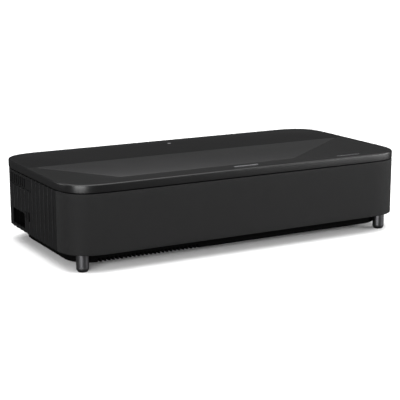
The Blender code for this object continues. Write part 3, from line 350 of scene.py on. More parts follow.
gunmetal = brushed("dark polished metal", (0.26, 0.26, 0.27), 0.30)
soft_rubber = moulded("black rubber", (0.014, 0.014, 0.014), 0.85, grain=0.0005, depth=0.5, specular=0.3)
zinc = brushed("plated screw", (0.42, 0.42, 0.43), 0.35)
SLEEVE_TOP, SLEEVE_BORE, BORE_TOP, STUD_R = 0.0312, 0.0068, 0.012, 0.0040
SLEEVE_RIM = ((0.0022, 0.0002), (0.0014, 0.0008), (0.0006, 0.0018), (0, 0.0034))  # inset, height
SLEEVE_GROOVE = ((0, 0.0075), (0.0003, 0.0078), (0.0003, 0.0084), (0, 0.0087))
THREAD_PITCH, THREAD_DEEP = 0.00125, 0.0004
for side in ("left", "right"):
    low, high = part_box(f"foot_sleeve_{side}")
    middle, radius = (low + high) / 2, (high.x - low.x) / 2
    rim = [(radius - i, low.z + z) for i, z in SLEEVE_RIM]
    groove = [(radius - i, z) for i, z in SLEEVE_GROOVE]
    thread = [
        (STUD_R - THREAD_DEEP * (k % 2), SLEEVE_TOP + 0.0008 + THREAD_PITCH / 2 * k) for k in range(38)
    ]
    sleeve = turned(
        f"foot_sleeve_{side}_turned",
        [(SLEEVE_BORE, low.z), *rim, *groove, (radius, SLEEVE_TOP - 0.0006), (radius - 0.0006, SLEEVE_TOP),
         (STUD_R, SLEEVE_TOP), *thread, (STUD_R - 0.001, high.z), (0, high.z), (0, BORE_TOP),
         (SLEEVE_BORE, BORE_TOP)],
        (middle.x, middle.y, 0), steps=64,
    )
    dress(placed(sleeve), gunmetal, f"foot_sleeve_{side}", "foot_metal", f"foot_sleeve_{side}")
    pad = turned(
        f"foot_pad_{side}_moulded",
        [(0, 0), (0.0078, 0), (0.0085, 0.0002), (0.0088, 0.0006), (0.0088, 0.0010), (0.0062, 0.0010),
         (0.0062, 0.0100), (0, 0.0100)],
        (middle.x, middle.y, 0),
    )
    dress(placed(pad), soft_rubber, f"foot_pad_{side}", "rubber_black", f"foot_pad_{side}")
    low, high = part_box(f"rear_foot_{side}")
    middle, wide = (low + high) / 2, (high.x - low.x) / 2
    button = turned(
        f"rear_foot_{side}_moulded",
        [(0, 0), (wide - 0.004, 0), (wide - 0.0034, 0.0005), (wide - 0.0026, 0.0005), (wide - 0.002, 0),
         (wide - 0.0012, 0.0002), (wide - 0.0003, 0.0010), (wide, 0.0022), (wide, high.z), (0, high.z)],
        (middle.x, middle.y, 0),
    )
    dress(placed(button), soft_rubber, "cabinet", "rubber_black", f"rear_foot_{side}")
    low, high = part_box(f"case_screw_{side}")
    middle = (low + high) / 2
    screw = turned(
        f"case_screw_{side}_turned",
        [(0, low.z), (0.0030, low.z), (0.0036, low.z + 0.0005), (0.0036, low.z + 0.0022),
         (0.0016, low.z + 0.0022), (0.0016, high.z), (0, high.z)],
        (middle.x, middle.y, 0), steps=24,
    )
    cross = []
    for a, b in ((0.0018, 0.0004), (0.0004, 0.0018)):
        corner = (middle.x - a, middle.y - b, low.z - 0.001)
        cross.append(block("slot", corner, (middle.x + a, middle.y + b, low.z + 0.0012)))
    dress(carve(placed(screw), cross), zinc, "cabinet", "steel", f"case_screw_{side}")

# ------------------------------------------------------------------------------------------------
# Inside of the cabinet. Castings, circuit boards, fans, speakers and the light path keep the shape of the
# imported model: each is copied, the edges of some are broken, and it gets the finish of the real material.


def brought(node, edge=0.0):
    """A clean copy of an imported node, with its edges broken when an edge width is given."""
    data = bmesh.new()
    data.from_mesh(frame["nodes"][node].data)
    bmesh.ops.remove_doubles(data, verts=data.verts, dist=1e-5)
    bmesh.ops.dissolve_limit(data, angle_limit=math.radians(1), verts=data.verts, edges=data.edges)
    piece = placed(settle(f"{node}_finished", data))
    return soften(piece, edge, 1) if edge else piece


def body_of(node):
    """The name of the body that a node belongs to."""
    bodies = frame["record"]["behaviour"]["bodies"]
    return next(body for body, members in bodies.items() if node in members)


case_plastic = moulded("case moulding", (0.016, 0.016, 0.017), 0.55)
cast_grey = moulded("cast metal, grey coat", (0.10, 0.10, 0.108), 0.5, grain=0.0012, depth=0.6, metallic=0.3)
fin_metal = brushed("bare aluminium", (0.58, 0.58, 0.60), 0.38, (2400, 60, 60))
bright_steel = brushed("bright steel", (0.45, 0.45, 0.46), 0.3, (1800, 1800, 80))
nylon = moulded("natural nylon", (0.72, 0.70, 0.64), 0.5, specular=0.4)
foam = moulded("filter fleece", (0.15, 0.15, 0.15), 0.95, grain=0.0004, depth=1.0, mottle=0.25, specular=0.1)
INSIDE = {
    "bottom_case": (case_plastic, "base_black", 0.0), "front_frame": (case_plastic, "case_black", 0.0),
    "mirror_bay": (black_base, "base_black", 0.0), "optical_engine": (cast_grey, "inner_grey", 0.0012),
    "laser_module": (cast_grey, "inner_grey", 0.0012), "laser_heatsink": (fin_metal, "aluminium", 0.0),
    "lens_barrel": (case_plastic, "base_black", 0.0004), "focus_ring": (case_plastic, "base_black", 0.0),
    "focus_pinion": (nylon, "gear_white", 0.0), "focus_motor": (bright_steel, "steel", 0.0003),
    "wheel_motor": (bright_steel, "steel", 0.0003), "door_pinion": (nylon, "gear_white", 0.0),
    "door_rack": (nylon, "gear_white", 0.0), "door_motor": (bright_steel, "steel", 0.0003),
    "speaker_basket_left": (bright_steel, "steel", 0.0), "speaker_basket_right": (bright_steel, "steel", 0.0),
    "speaker_cone_left": (soft_rubber, "rubber_black", 0.0),
    "speaker_cone_right": (soft_rubber, "rubber_black", 0.0), "air_filter": (foam, "filter_foam", 0.0003),
}
for fan in ("intake", "exhaust_front", "exhaust_rear"):
    INSIDE[f"fan_frame_{fan}"] = (black_base, "base_black", 0.0)
    INSIDE[f"fan_rotor_{fan}"] = (case_plastic, "base_black", 0.0)
for node, (look, slot, edge) in INSIDE.items():
    dress(brought(node, edge), look, body_of(node), slot, node)

# ------------------------------------------------------------------------------------------------
# Phosphor wheel. A thin aluminium disc with a ring of yellow ceramic bonded near its rim.
# The laser lights one spot of the ring while it spins, which turns blue light into yellow.


def banded(name, inner, outer, edge_at, centre):
    """Two finishes on a disc across X, changing at a radius."""
    look = moulded(name, inner, 0.4)
    nodes, wire = look.node_tree.nodes, look.node_tree.links.new
    shift = nodes.new("ShaderNodeMapping")
    shift.inputs["Location"].default_value = [-c for c in centre]
    flatten = nodes.new("ShaderNodeVectorMath")
    flatten.operation = "MULTIPLY"
    flatten.inputs[1].default_value = (0, 1, 1)
    far = nodes.new("ShaderNodeVectorMath")
    far.operation = "LENGTH"
    wire(nodes["Texture Coordinate"].outputs["Object"], shift.inputs["Vector"])
    wire(shift.outputs["Vector"], flatten.inputs[0])
    wire(flatten.outputs["Vector"], far.inputs[0])
    step = nodes.new("ShaderNodeValToRGB")
    step.color_ramp.interpolation = "CONSTANT"
    step.color_ramp.elements[0].color = (*inner, 1)
    step.color_ramp.elements[1].color = (*outer, 1)
    step.color_ramp.elements[1].position = 0.5
    scale = nodes.new("ShaderNodeMath")
    scale.operation = "MULTIPLY"
    scale.inputs[1].default_value = 0.5 / edge_at
    wire(far.outputs["Value"], scale.inputs[0])
    wire(scale.outputs["Value"], step.inputs["Fac"])
    wire(step.outputs["Color"], nodes["Principled BSDF"].inputs["Base Color"])
    return look


low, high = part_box("phosphor_wheel")
wheel_centre = (low + high) / 2
RING_INNER_R = 0.022
disc_metal, phosphor = (0.5, 0.5, 0.52), (0.75, 0.60, 0.06)
wheel_look = banded("wheel with phosphor ring", disc_metal, phosphor, RING_INNER_R, wheel_centre)
dress(brought("phosphor_wheel"), wheel_look, "phosphor_wheel", "phosphor_yellow", "phosphor_wheel")

# ------------------------------------------------------------------------------------------------
# Circuit boards. Glass-fibre laminate under green solder mask, with dark packages and cans on top.
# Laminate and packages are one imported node, so the finish changes at the height of the laminate's top.


def populated(name, top):
    """Green solder mask up to a height, and dark packages above it."""
    look = moulded(name, (0.02, 0.12, 0.06), 0.35, grain=0.0009)
    nodes, wire = look.node_tree.nodes, look.node_tree.links.new
    height = nodes.new("ShaderNodeSeparateXYZ")
    wire(nodes["Texture Coordinate"].outputs["Object"], height.inputs["Vector"])
    above = nodes.new("ShaderNodeMath")
    above.operation = "GREATER_THAN"
    above.inputs[1].default_value = top
    wire(height.outputs["Z"], above.inputs[0])
    swap = nodes.new("ShaderNodeMix")
    swap.data_type = "RGBA"
    swap.inputs["B"].default_value = (0.03, 0.03, 0.034, 1)
    wire(above.outputs["Value"], swap.inputs["Factor"])
    wire(nodes["Color Ramp"].outputs["Color"], swap.inputs["A"])
    wire(swap.outputs["Result"], nodes["Principled BSDF"].inputs["Base Color"])
    return look


LAMINATE_TOP = 0.0450
board_look = populated("solder mask and packages", LAMINATE_TOP)
for node in ("main_board", "power_board"):
    dress(brought(node, 0.0003), board_look, "cabinet", "board_green", node)

# ------------------------------------------------------------------------------------------------
# Light path. The curved mirror is glass with a silver coat, the lens is coated optical glass,
# and a flat window seals the light path under the lid.


def glassy(name, colour, rough, alpha):
    """Glass or clear plastic with a polished coat."""
    look = moulded(name, colour, max(rough, 0.08), grain=0.01, depth=0.0, mottle=0.04)
    shader = look.node_tree.nodes["Principled BSDF"]
    shader.inputs["Coat Weight"].default_value = 1.0
    shader.inputs["Coat Roughness"].default_value = rough
    shader.inputs["Alpha"].default_value = alpha
    return look


silver = brushed("silver coat", (0.86, 0.87, 0.89), 0.08, (40, 40, 40))
dress(brought("curved_mirror"), silver, "cabinet", "mirror_silver", "curved_mirror")
lens_look = glassy("coated lens", (0.020, 0.026, 0.045), 0.03, 1.0)
LENS_BULGE = 0.0095
low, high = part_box("front_lens")
middle, wide = (low + high) / 2, (high.x - low.x) / 2
bends = [math.pi / 2 * i / 10 for i in range(10)]
dome = [(wide * math.cos(t), low.y + LENS_BULGE * (1 - math.sin(t))) for t in bends]
lens_profile = [(0, high.y), (wide, high.y), *dome, (0, low.y)]
lens = turned("front_lens_polished", lens_profile, (middle.x, 0, middle.z), "y", 64)
dress(placed(lens), lens_look, "cabinet", "window_glass", "front_lens")
clear = glassy("clear window", (0.10, 0.12, 0.13), 0.04, 0.28)
dress(brought("projection_window", 0.0003), clear, "cabinet", "window_glass", "projection_window")

# ------------------------------------------------------------------------------------------------
# Cable bay. A black hood at the rear left with the sockets in its front wall, open below and behind.
# The sockets are folded steel shells, the mains inlet is a moulded block with three flat pins.
dress(brought("cable_bay", 0.0005), black_base, "cabinet", "base_black", "cable_bay")
for node in ("hdmi_socket_1", "hdmi_socket_2", "usb_socket", "audio_socket"):
    dress(brought(node), bright_steel, "cabinet", "steel", node)
dress(brought("power_inlet", 0.0003), case_plastic, "cabinet", "base_black", "power_inlet")

# ------------------------------------------------------------------------------------------------
# Front. Speaker cloth is stretched over a plastic frame that wraps both front corners of the cabinet.
# It is a dense charcoal weave, folded round the frame's upper and lower edges.
HALF_W, HALF_D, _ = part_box("top_lid")[1]
CORNER, CORNER_POWER, CORNER_STEPS = 0.090, 3.2, 28
SEAM_GAP = 0.0004
cloth_low, cloth_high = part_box("front_cloth")
FRONT_SEAM, PANEL_LOW, PANEL_HIGH = cloth_high.y, cloth_low.z, cloth_high.z


def cabinet(inset):
    """The cabinet's outline in plan, moved in by inset."""
    low, high = (inset - HALF_W, inset - HALF_D), (HALF_W - inset, HALF_D - inset)
    return soft_outline(low, high, CORNER - inset, CORNER_POWER, CORNER_STEPS)


def edge_x(y, inset):
    """How far out the cabinet's side is at this y."""
    reach = CORNER - inset
    over = max(abs(y) - (HALF_D - inset - reach), 0)
    return HALF_W - inset - reach + (reach**CORNER_POWER - over**CORNER_POWER) ** (1 / CORNER_POWER)


def front_path(inset):
    """The front face and both front corners, from the left seam to the right seam."""
    points = [p for p in cabinet(inset) if p[1] < FRONT_SEAM - SEAM_GAP]
    left = sorted((p for p in points if p[0] < 0), key=lambda p: (-p[1], p[0]))
    right = sorted((p for p in points if p[0] > 0), key=lambda p: (p[1], p[0]))
    (start, y), end, steps = left[-1], right[0][0], 40
    straight = [(start + (end - start) * i / steps, y) for i in range(1, steps)]
    seam_x = edge_x(FRONT_SEAM, inset)
    return [(-seam_x, FRONT_SEAM), *left, *straight, *right, (seam_x, FRONT_SEAM)]


def along(points):
    """The distance of each point from the first one."""
    far = [0.0]
    for a, b in zip(points, points[1:]):
        far.append(far[-1] + math.dist(a, b))
    return far


def woven(name, colour, thread):
    """A plain weave over a UV map in metres: threads pass over and under each other."""
    look = bpy.data.materials.new(name)
    look.use_nodes = True
    nodes, wire = look.node_tree.nodes, look.node_tree.links.new
    shader = nodes["Principled BSDF"]
    shader.inputs["Specular IOR Level"].default_value = 0.22
    shader.inputs["Sheen Weight"].default_value = 0.03
    shader.inputs["Sheen Roughness"].default_value = 0.5
    flat = nodes.new("ShaderNodeUVMap")
    flat.uv_map = "cut"
    threads = []
    for direction in ("X", "Y"):
        wave = nodes.new("ShaderNodeTexWave")
        wave.bands_direction = direction
        wave.inputs["Scale"].default_value = math.pi / 10 / thread
        wave.inputs["Distortion"].default_value = 0.6
        wave.inputs["Detail Scale"].default_value = 3.0
        wire(flat.outputs["UV"], wave.inputs["Vector"])
        threads.append(wave)
    check = nodes.new("ShaderNodeTexChecker")
    check.inputs["Scale"].default_value = 1 / thread
    wire(flat.outputs["UV"], check.inputs["Vector"])
    over = nodes.new("ShaderNodeMix")
    wire(check.outputs["Fac"], over.inputs["Factor"])
    wire(threads[0].outputs["Fac"], over.inputs["A"])
    wire(threads[1].outputs["Fac"], over.inputs["B"])
    fleck = nodes.new("ShaderNodeTexNoise")
    fleck.inputs["Scale"].default_value = 160.0
    fleck.inputs["Detail"].default_value = 6.0
    wire(flat.outputs["UV"], fleck.inputs["Vector"])
    blend = nodes.new("ShaderNodeMath")
    blend.operation = "MULTIPLY"
    wire(over.outputs["Result"], blend.inputs[0])
    wire(fleck.outputs["Fac"], blend.inputs[1])
    tint = nodes.new("ShaderNodeValToRGB")
    tint.color_ramp.elements[0].color = (*(c * 0.55 for c in colour), 1)
    tint.color_ramp.elements[1].color = (*(c * 1.5 for c in colour), 1)
    tint.color_ramp.elements[1].position = 0.7
    wire(blend.outputs["Value"], tint.inputs["Fac"])
    wire(tint.outputs["Color"], shader.inputs["Base Color"])
    rough = nodes.new("ShaderNodeMapRange")
    rough.inputs["To Min"].default_value, rough.inputs["To Max"].default_value = 0.5, 0.68
    wire(fleck.outputs["Fac"], rough.inputs["Value"])
    wire(rough.outputs["Result"], shader.inputs["Roughness"])
    bump = nodes.new("ShaderNodeBump")
    bump.inputs["Strength"].default_value, bump.inputs["Distance"].default_value = 0.5, thread * 0.3
    wire(over.outputs["Result"], bump.inputs["Height"])
    wire(bump.outputs["Normal"], shader.inputs["Normal"])
    return look


CLOTH_THICK, CLOTH_FOLD, CLOTH_ROWS = 0.0006, 0.0010, 12
flat_low, flat_tall = PANEL_LOW + CLOTH_FOLD, PANEL_HIGH - PANEL_LOW - 2 * CLOTH_FOLD
profile = [(i, PANEL_LOW + z) for i, z in fillet(CLOTH_FOLD, 4, False)]
profile += [(0.0, flat_low + flat_tall * k / CLOTH_ROWS) for k in range(1, CLOTH_ROWS)]
profile += [(i, PANEL_HIGH + z) for i, z in fillet(CLOTH_FOLD, 4, True)]
run = along(front_path(0.0))
data = bmesh.new()
cut = data.loops.layers.uv.new("cut")
grid = [[data.verts.new((x, y, z)) for x, y in front_path(inset * 0.6)] for inset, z in profile]
for j in range(len(grid) - 1):
    for i in range(len(run) - 1):
        corners = ((j, i), (j, i + 1), (j + 1, i + 1), (j + 1, i))
        face = data.faces.new([grid[row][column] for row, column in corners])
        for loop, (row, column) in zip(face.loops, corners):
            loop[cut].uv = (run[column], profile[row][1])
mesh = bpy.data.meshes.new("front_cloth_stretched")
data.to_mesh(mesh)
data.free()
mesh.shade_smooth()
cloth = placed(mesh)
skin = cloth.modifiers.new("thickness", "SOLIDIFY")
skin.thickness, skin.offset = CLOTH_THICK, -1
harden(cloth)
cloth_black = woven("charcoal speaker cloth", (0.006, 0.006, 0.0062), 0.0007)
dress(cloth, cloth_black, "cabinet", "cloth_black", "front_cloth")

# ------------------------------------------------------------------------------------------------
# Sides. Each is one moulding from the front seam round the rear corner, with raised upright ribs.
# Air passes through slots between the ribs; the dust filter sits behind a pull-out part of the right side.
RIB_PITCH, RIB_WIDE, RIB_PROUD = 0.0186, 0.0112, 0.0016
RIB_SINK, RIB_AHEAD, RIB_BEHIND = 0.0002, 0.0065, 0.004
REAR_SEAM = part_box("rear_panel")[1].x
SIDE_WALL = 0.0038
side_plastic = moulded(
    "side moulding", (0.0045, 0.0045, 0.0048), 0.42, grain=0.0008, depth=0.15, specular=0.28
)


def side_path(side, inset):
    """From the front seam along the side and round the rear corner to the rear seam."""
    start, steps = FRONT_SEAM + SEAM_GAP, 24
    corner = [p for p in cabinet(inset) if p[0] > REAR_SEAM + 0.0006 and p[1] > 0]
    bend = sorted(corner, key=lambda p: (p[1], -p[0]))
    front = [(edge_x(y, inset), y) for y in (start + (bend[0][1] - start) * i / steps for i in range(steps))]
    path = [*front, *bend, (REAR_SEAM + SEAM_GAP, bend[-1][1])]
    return [(side * x, y) for x, y in path]


def rib_tree():
    """A node tree that stands elliptical ribs along a path, evenly spaced and turned to follow it."""
    tree = bpy.data.node_groups.new("ribs_along_a_path", "GeometryNodeTree")
    new_socket = tree.interface.new_socket
    new_socket("Geometry", in_out="INPUT", socket_type="NodeSocketGeometry")
    made = {
        name: new_socket(name, in_out="INPUT", socket_type=f"NodeSocket{kind}").identifier
        for name, kind in (("Pitch", "Float"), ("Size", "Vector"), ("Finish", "Material"))
    }
    new_socket("Geometry", in_out="OUTPUT", socket_type="NodeSocketGeometry")
    nodes, wire = tree.nodes, tree.links.new
    given, result = nodes.new("NodeGroupInput"), nodes.new("NodeGroupOutput")
    curve = nodes.new("GeometryNodeMeshToCurve")
    wire(given.outputs["Geometry"], curve.inputs["Mesh"])
    points = nodes.new("GeometryNodeCurveToPoints")
    points.mode = "LENGTH"
    wire(curve.outputs["Curve"], points.inputs["Curve"])
    wire(given.outputs["Pitch"], points.inputs["Length"])
    rib = nodes.new("GeometryNodeMeshCylinder")
    rib.inputs["Vertices"].default_value = 20
    rib.inputs["Radius"].default_value = 0.5
    rib.inputs["Depth"].default_value = 1.0
    sized = nodes.new("GeometryNodeTransform")
    wire(rib.outputs["Mesh"], sized.inputs["Geometry"])
    wire(given.outputs["Size"], sized.inputs["Scale"])
    face_along = nodes.new("FunctionNodeAlignRotationToVector")
    face_along.axis, face_along.pivot_axis = "X", "Z"
    wire(points.outputs["Tangent"], face_along.inputs["Vector"])
    stand = nodes.new("GeometryNodeInstanceOnPoints")
    wire(points.outputs["Points"], stand.inputs["Points"])
    wire(sized.outputs["Geometry"], stand.inputs["Instance"])
    wire(face_along.outputs["Rotation"], stand.inputs["Rotation"])
    real = nodes.new("GeometryNodeRealizeInstances")
    wire(stand.outputs["Instances"], real.inputs["Geometry"])
    paint = nodes.new("GeometryNodeSetMaterial")
    wire(real.outputs["Geometry"], paint.inputs["Geometry"])
    wire(given.outputs["Finish"], paint.inputs["Material"])
    wire(paint.outputs["Geometry"], result.inputs["Geometry"])
    return tree, made


RIBS, RIB_INPUT = rib_tree()


def side_ribs(name, side):
    """The ribs of one side, from the front seam to the rear seam."""
    data = bmesh.new()
    path = trimmed(side_path(side, RIB_PROUD + RIB_SINK), RIB_AHEAD, RIB_BEHIND)
    points = [data.verts.new((x, y, (PANEL_LOW + PANEL_HIGH) / 2)) for x, y in path]
    for a, b in zip(points, points[1:]):
        data.edges.new((a, b))
    mesh = bpy.data.meshes.new(name)
    data.to_mesh(mesh)
    data.free()
    piece = placed(mesh)
    step = piece.modifiers.new("ribs", "NODES")
    step.node_group = RIBS
    step[RIB_INPUT["Pitch"]], step[RIB_INPUT["Finish"]] = RIB_PITCH, side_plastic
    step[RIB_INPUT["Size"]] = (RIB_WIDE, 2 * RIB_PROUD, PANEL_HIGH - PANEL_LOW)
    mesh.update()
    return harden(piece)


def trimmed(path, ahead, behind):
    """A path in plan without its first and last stretch."""
    run = along(path)
    kept = [p for p, far in zip(path, run) if ahead < far < run[-1] - behind]
    for i, (a, b) in enumerate(zip(run, run[1:])):
        if a <= ahead < b:
            t = (ahead - a) / (b - a)
            first = tuple(p + (q - p) * t for p, q in zip(path[i], path[i + 1]))
    return [first, *kept]


def wall_strip(name, outside, inside, low, high):
    """A wall between two paths in plan with the same ends."""
    loop = outside + inside[::-1]
    return loft(name, [[(x, y, z) for x, y in loop] for z in (low, high)])


def row_of_cuts(first, pitch, count, wide, side, low, high):
    """Cutters for a row of upright slots through one side."""
    near, far = sorted((side * (HALF_W + 0.004), side * (HALF_W - 0.02)))
    starts = [first + i * pitch for i in range(count)]
    return [block("cut", (near, y, low), (far, y + wide, high)) for y in starts]


UPPER_VENT = (0.0060, 0.1160, 0.1125, 0.1335)  # y0, y1, z0, z1, as in the cable exit and the filter door
VENT_FIRST, VENT_PITCH, VENT_SLOT, VENT_LOW, VENT_HIGH = 0.0420, 0.0105, 0.0050, 0.1145, 0.1315
LOW_VENT = (0.0200, 0.0560, 0.0730)  # y0, z0, z1
LOW_VENT_PITCH, LOW_VENT_SLOT = 0.0085, 0.0042
CABLE_EXIT = (0.0430, 0.1030, 0.0385, 0.0675)
FILTER_DOOR = (-0.062, 0.062, 0.044, 0.126)
GROOVE_FIRST, GROOVE_SLOT = FRONT_SEAM + SEAM_GAP + 0.0085 + 0.0018, 0.004
for label, side in (("left", -1), ("right", 1)):
    paths = side_path(side, RIB_PROUD), side_path(side, SIDE_WALL)
    panel = placed(wall_strip(f"side_panel_{label}_moulded", *paths, PANEL_LOW, PANEL_HIGH))
    ribs = side_ribs(f"side_ribs_{label}", side)
    near, far = sorted((side * (HALF_W + 0.01), side * (HALF_W - 0.02)))
    if side < 0:
        holes = (UPPER_VENT, CABLE_EXIT)
        windows = [block("window", (near, y0, z0), (far, y1, z1), 0.001) for y0, y1, z0, z1 in holes]
        windows += row_of_cuts(LOW_VENT[0], LOW_VENT_PITCH, 3, LOW_VENT_SLOT, side, *LOW_VENT[1:])
        slots = row_of_cuts(GROOVE_FIRST, RIB_PITCH, 6, GROOVE_SLOT, side, 0.060, 0.108)
    else:
        y0, y1, z0, z1 = FILTER_DOOR
        windows = [block("door", (near, y0, z0), (far, y1, z1))]
        slots = row_of_cuts(0.0752, VENT_PITCH, 4, VENT_SLOT, side, 0.060, 0.122)
    carve(panel, [*windows, *slots])
    carve(ribs, windows)
    dress(panel, side_plastic, "cabinet", "side_black", f"side_panel_{label}")
    dress(ribs, side_plastic, "cabinet", "side_black")

GRILLE_LAP, GRILLE_FACE, GRILLE_BACK = 0.001, 0.0028, 0.0042
y0, y1, z0, z1 = UPPER_VENT
across_vent = [y0 - GRILLE_LAP + (y1 - y0 + 2 * GRILLE_LAP) * i / 16 for i in range(17)]
paths = [[(-edge_x(y, inset), y) for y in across_vent] for inset in (GRILLE_FACE, GRILLE_BACK)]
grille = placed(wall_strip("vent_grille", *paths, z0 - GRILLE_LAP, z1 + GRILLE_LAP))
carve(grille, row_of_cuts(VENT_FIRST, VENT_PITCH, 7, VENT_SLOT, -1, VENT_LOW, VENT_HIGH))
dress(grille, side_plastic, "cabinet", "side_black")

y0, y1, z0, z1 = (edge + gap for edge, gap in zip(FILTER_DOOR, (SEAM_GAP, -SEAM_GAP, SEAM_GAP, -SEAM_GAP)))
cover_path = [(edge_x(y, RIB_PROUD), y) for y in (y0 + (y1 - y0) * i / 12 for i in range(13))]
cover_back = [(HALF_W - SIDE_WALL, y) for _, y in cover_path]
cover = placed(wall_strip("filter_cover_moulded", cover_path, cover_back, z0, z1))
carve(cover, row_of_cuts(GROOVE_FIRST + 3 * RIB_PITCH, RIB_PITCH, 6, GROOVE_SLOT, 1, 0.054, 0.116))
cover_ribs = side_ribs("filter_cover_ribs", 1)
carve(cover_ribs, [block("door", (HALF_W - 0.02, y0, z0), (HALF_W + 0.01, y1, z1))], "INTERSECT")
dress(cover, side_plastic, "filter_cover", "side_black", "filter_cover")
dress(cover_ribs, side_plastic, "filter_cover", "side_black")

# ------------------------------------------------------------------------------------------------
# Rear. A flat moulded panel with upright air slots, the power button, and a clip-on cover over the cables.
# The button is a round plastic cap that a flange holds behind its hole in the panel.
for node, edge in (("rear_panel", 0.0), ("cable_cover", 0.0004)):
    dress(brought(node, edge), side_plastic, body_of(node), "side_black", node)
low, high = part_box("power_button")
middle = (low + high) / 2
button = turned(
    "power_button_moulded",
    [(0, low.y), (0.0082, low.y), (0.0082, low.y + 0.0018), (0.0064, low.y + 0.0018),
     (0.0064, high.y - 0.0006), (0.0060, high.y), (0.0030, high.y), (0.0024, high.y - 0.0003),
     (0, high.y - 0.0004)],
    (middle.x, 0, middle.z), "y",
)
dress(placed(button), case_plastic, "power_button", "case_black", "power_button")

# ------------------------------------------------------------------------------------------------
# Lid. One satin moulding: a low deck at the rear, and a raised front with a shallow facet at each end,
# a sloped strip along the front edge and a room in the middle for the lens door.
CREASE_Y, RIDGE_Y = 0.024, -0.1415
DECK_TOP, RIM_TOP, RIDGE_TOP = 0.1520, 0.1540, 0.1570
DOOR_REAR, DOOR_FRONT = (-0.3325, 0.3285), (-0.241, 0.114)
ARMS_X, ARM_Y, DOOR_TRAVEL = (-0.211, 0.099), (-0.115, -0.095), 0.100
LID_BOTTOM, LID_SKIN, LID_WALL = 0.1398, 0.0025, 0.003
EDGE_ROUND, RIM_INSET, DECK_INSET = 0.0026, 0.0080, 0.0140
SENSOR_Y, SENSOR_R = 0.142, 0.0050
lid_black = moulded("satin lid", (0.0056, 0.0056, 0.0058), 0.31, grain=0.0006, depth=0.12, specular=0.42)
# The rear deck gets a rougher, darker and less reflective copy of the lid's finish; its darker colour and
# weaker reflection are painted shade.
deck_painted_shade = moulded(
    "rear deck with painted shade", (0.0043, 0.0043, 0.0045), 0.42, grain=0.0006, depth=0.12, specular=0.15
)


def split_at_crease(inset):
    """The cabinet's outline behind the crease and in front of it, both left to right."""
    points = cabinet(inset)
    ends = [(side * edge_x(CREASE_Y, inset), CREASE_Y) for side in (-1, 1)]
    rear = sorted((p for p in points if p[1] > CREASE_Y), key=lambda p: -math.atan2(p[1] + 0.05, p[0]))
    front = sorted((p for p in points if p[1] < CREASE_Y), key=lambda p: math.atan2(p[1] - 0.05, p[0]))
    return [ends[0], *rear, ends[1]], [ends[0], *front, ends[1]]


def lid_mesh():
    """The lid's outside, closed below by a flat face; the hollow and the openings are cut later."""
    data = bmesh.new()
    vert = data.verts.new
    edge = [(i, RIM_TOP + z) for i, z in fillet(EDGE_ROUND, 5, True)]
    rises = [(0.0006, LID_BOTTOM), (0.0, LID_BOTTOM + 0.0005), *edge, (RIM_INSET, RIM_TOP)]
    rows = []
    for inset, z in rises:
        rear, front = ([vert((x, y, z)) for x, y in half] for half in split_at_crease(inset))
        data.verts.remove(front[0])
        data.verts.remove(front[-1])
        rows.append((rear, [rear[0], *front[1:-1], rear[-1]]))
    for lower, upper in zip(rows, rows[1:]):
        for a, b in zip(lower, upper):
            for i in range(len(a) - 1):
                data.faces.new([a[i], a[i + 1], b[i + 1], b[i]])
    data.faces.new(rows[0][0] + rows[0][1][1:-1][::-1])
    rim_rear, rim_front = rows[-1]
    deck = [vert((x, y, DECK_TOP)) for x, y in split_at_crease(DECK_INSET)[0]]
    for i in range(len(deck) - 1):
        data.faces.new([rim_rear[i], rim_rear[i + 1], deck[i + 1], deck[i]])
    foot_left, foot_right = (vert((x, RIDGE_Y, DECK_TOP)) for x in DOOR_FRONT)
    foot_tip = vert((DOOR_REAR[1], CREASE_Y - 0.0005, DECK_TOP))
    data.faces.new([*deck, foot_tip, foot_right, foot_left])
    tip_left = vert((*deck[0].co.xy, RIM_TOP))
    tip_right = vert((*foot_tip.co.xy, RIM_TOP))
    end_right = vert((*deck[-1].co.xy, RIM_TOP))
    ridge_left, ridge_right = (vert((x, RIDGE_Y, RIDGE_TOP)) for x in DOOR_FRONT)
    for corners in (
        (rim_rear[0], deck[0], tip_left), (rim_rear[-1], end_right, deck[-1]),
        (deck[-1], end_right, tip_right, foot_tip), (tip_left, deck[0], foot_left, ridge_left),
        (ridge_left, foot_left, foot_right, ridge_right), (ridge_right, foot_right, foot_tip, tip_right),
    ):
        data.faces.new(corners)
    middle = len(rim_front) // 2
    left_fan, right_fan = [tip_left, *rim_front[:middle]], [*rim_front[middle:], end_right, tip_right]
    for hub, fan in ((ridge_left, left_fan), (ridge_right, right_fan)):
        for a, b in zip(fan, fan[1:]):
            data.faces.new([hub, a, b])
    data.faces.new([ridge_left, rim_front[middle - 1], rim_front[middle], ridge_right])
    return settle("top_lid_moulded", data, 1.2)


lid = placed(lid_mesh())
glass_low, glass_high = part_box("projection_window")
light_low, light_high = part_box("status_light")
GLASS_LAP, ARM_SLOT, CUT_LOW, CUT_HIGH = 0.005, 0.0028, 0.14, 0.16
openings = [
    loft("hollow", [[(x, y, z) for x, y in cabinet(LID_WALL)] for z in (0.13, DECK_TOP - LID_SKIN)]),
    block(
        "light window", (glass_low.x + GLASS_LAP, glass_low.y + GLASS_LAP, CUT_LOW),
        (glass_high.x - GLASS_LAP, glass_high.y - GLASS_LAP, CUT_HIGH),
    ),
    *[block(
        "arm slot", (x - ARM_SLOT, ARM_Y[0] - 0.0012, CUT_LOW),
        (x + ARM_SLOT, ARM_Y[1] + DOOR_TRAVEL + 0.0012, CUT_HIGH),
    ) for x in ARMS_X],
    block(
        "light slot", (light_low.x - SEAM_GAP, light_low.y - SEAM_GAP, CUT_LOW),
        (light_high.x + SEAM_GAP, light_high.y + SEAM_GAP, CUT_HIGH + 0.01),
    ),
    disc("sensor hole", SENSOR_R + SEAM_GAP, CUT_LOW, CUT_HIGH, (0, SENSOR_Y)),
]
carve(lid, openings)
dress(lid, lid_black, "cabinet", "case_black", "top_lid")
# the upward faces of the rear deck take the darker copy: painted shade on the deck
lid.data.materials.append(deck_painted_shade)
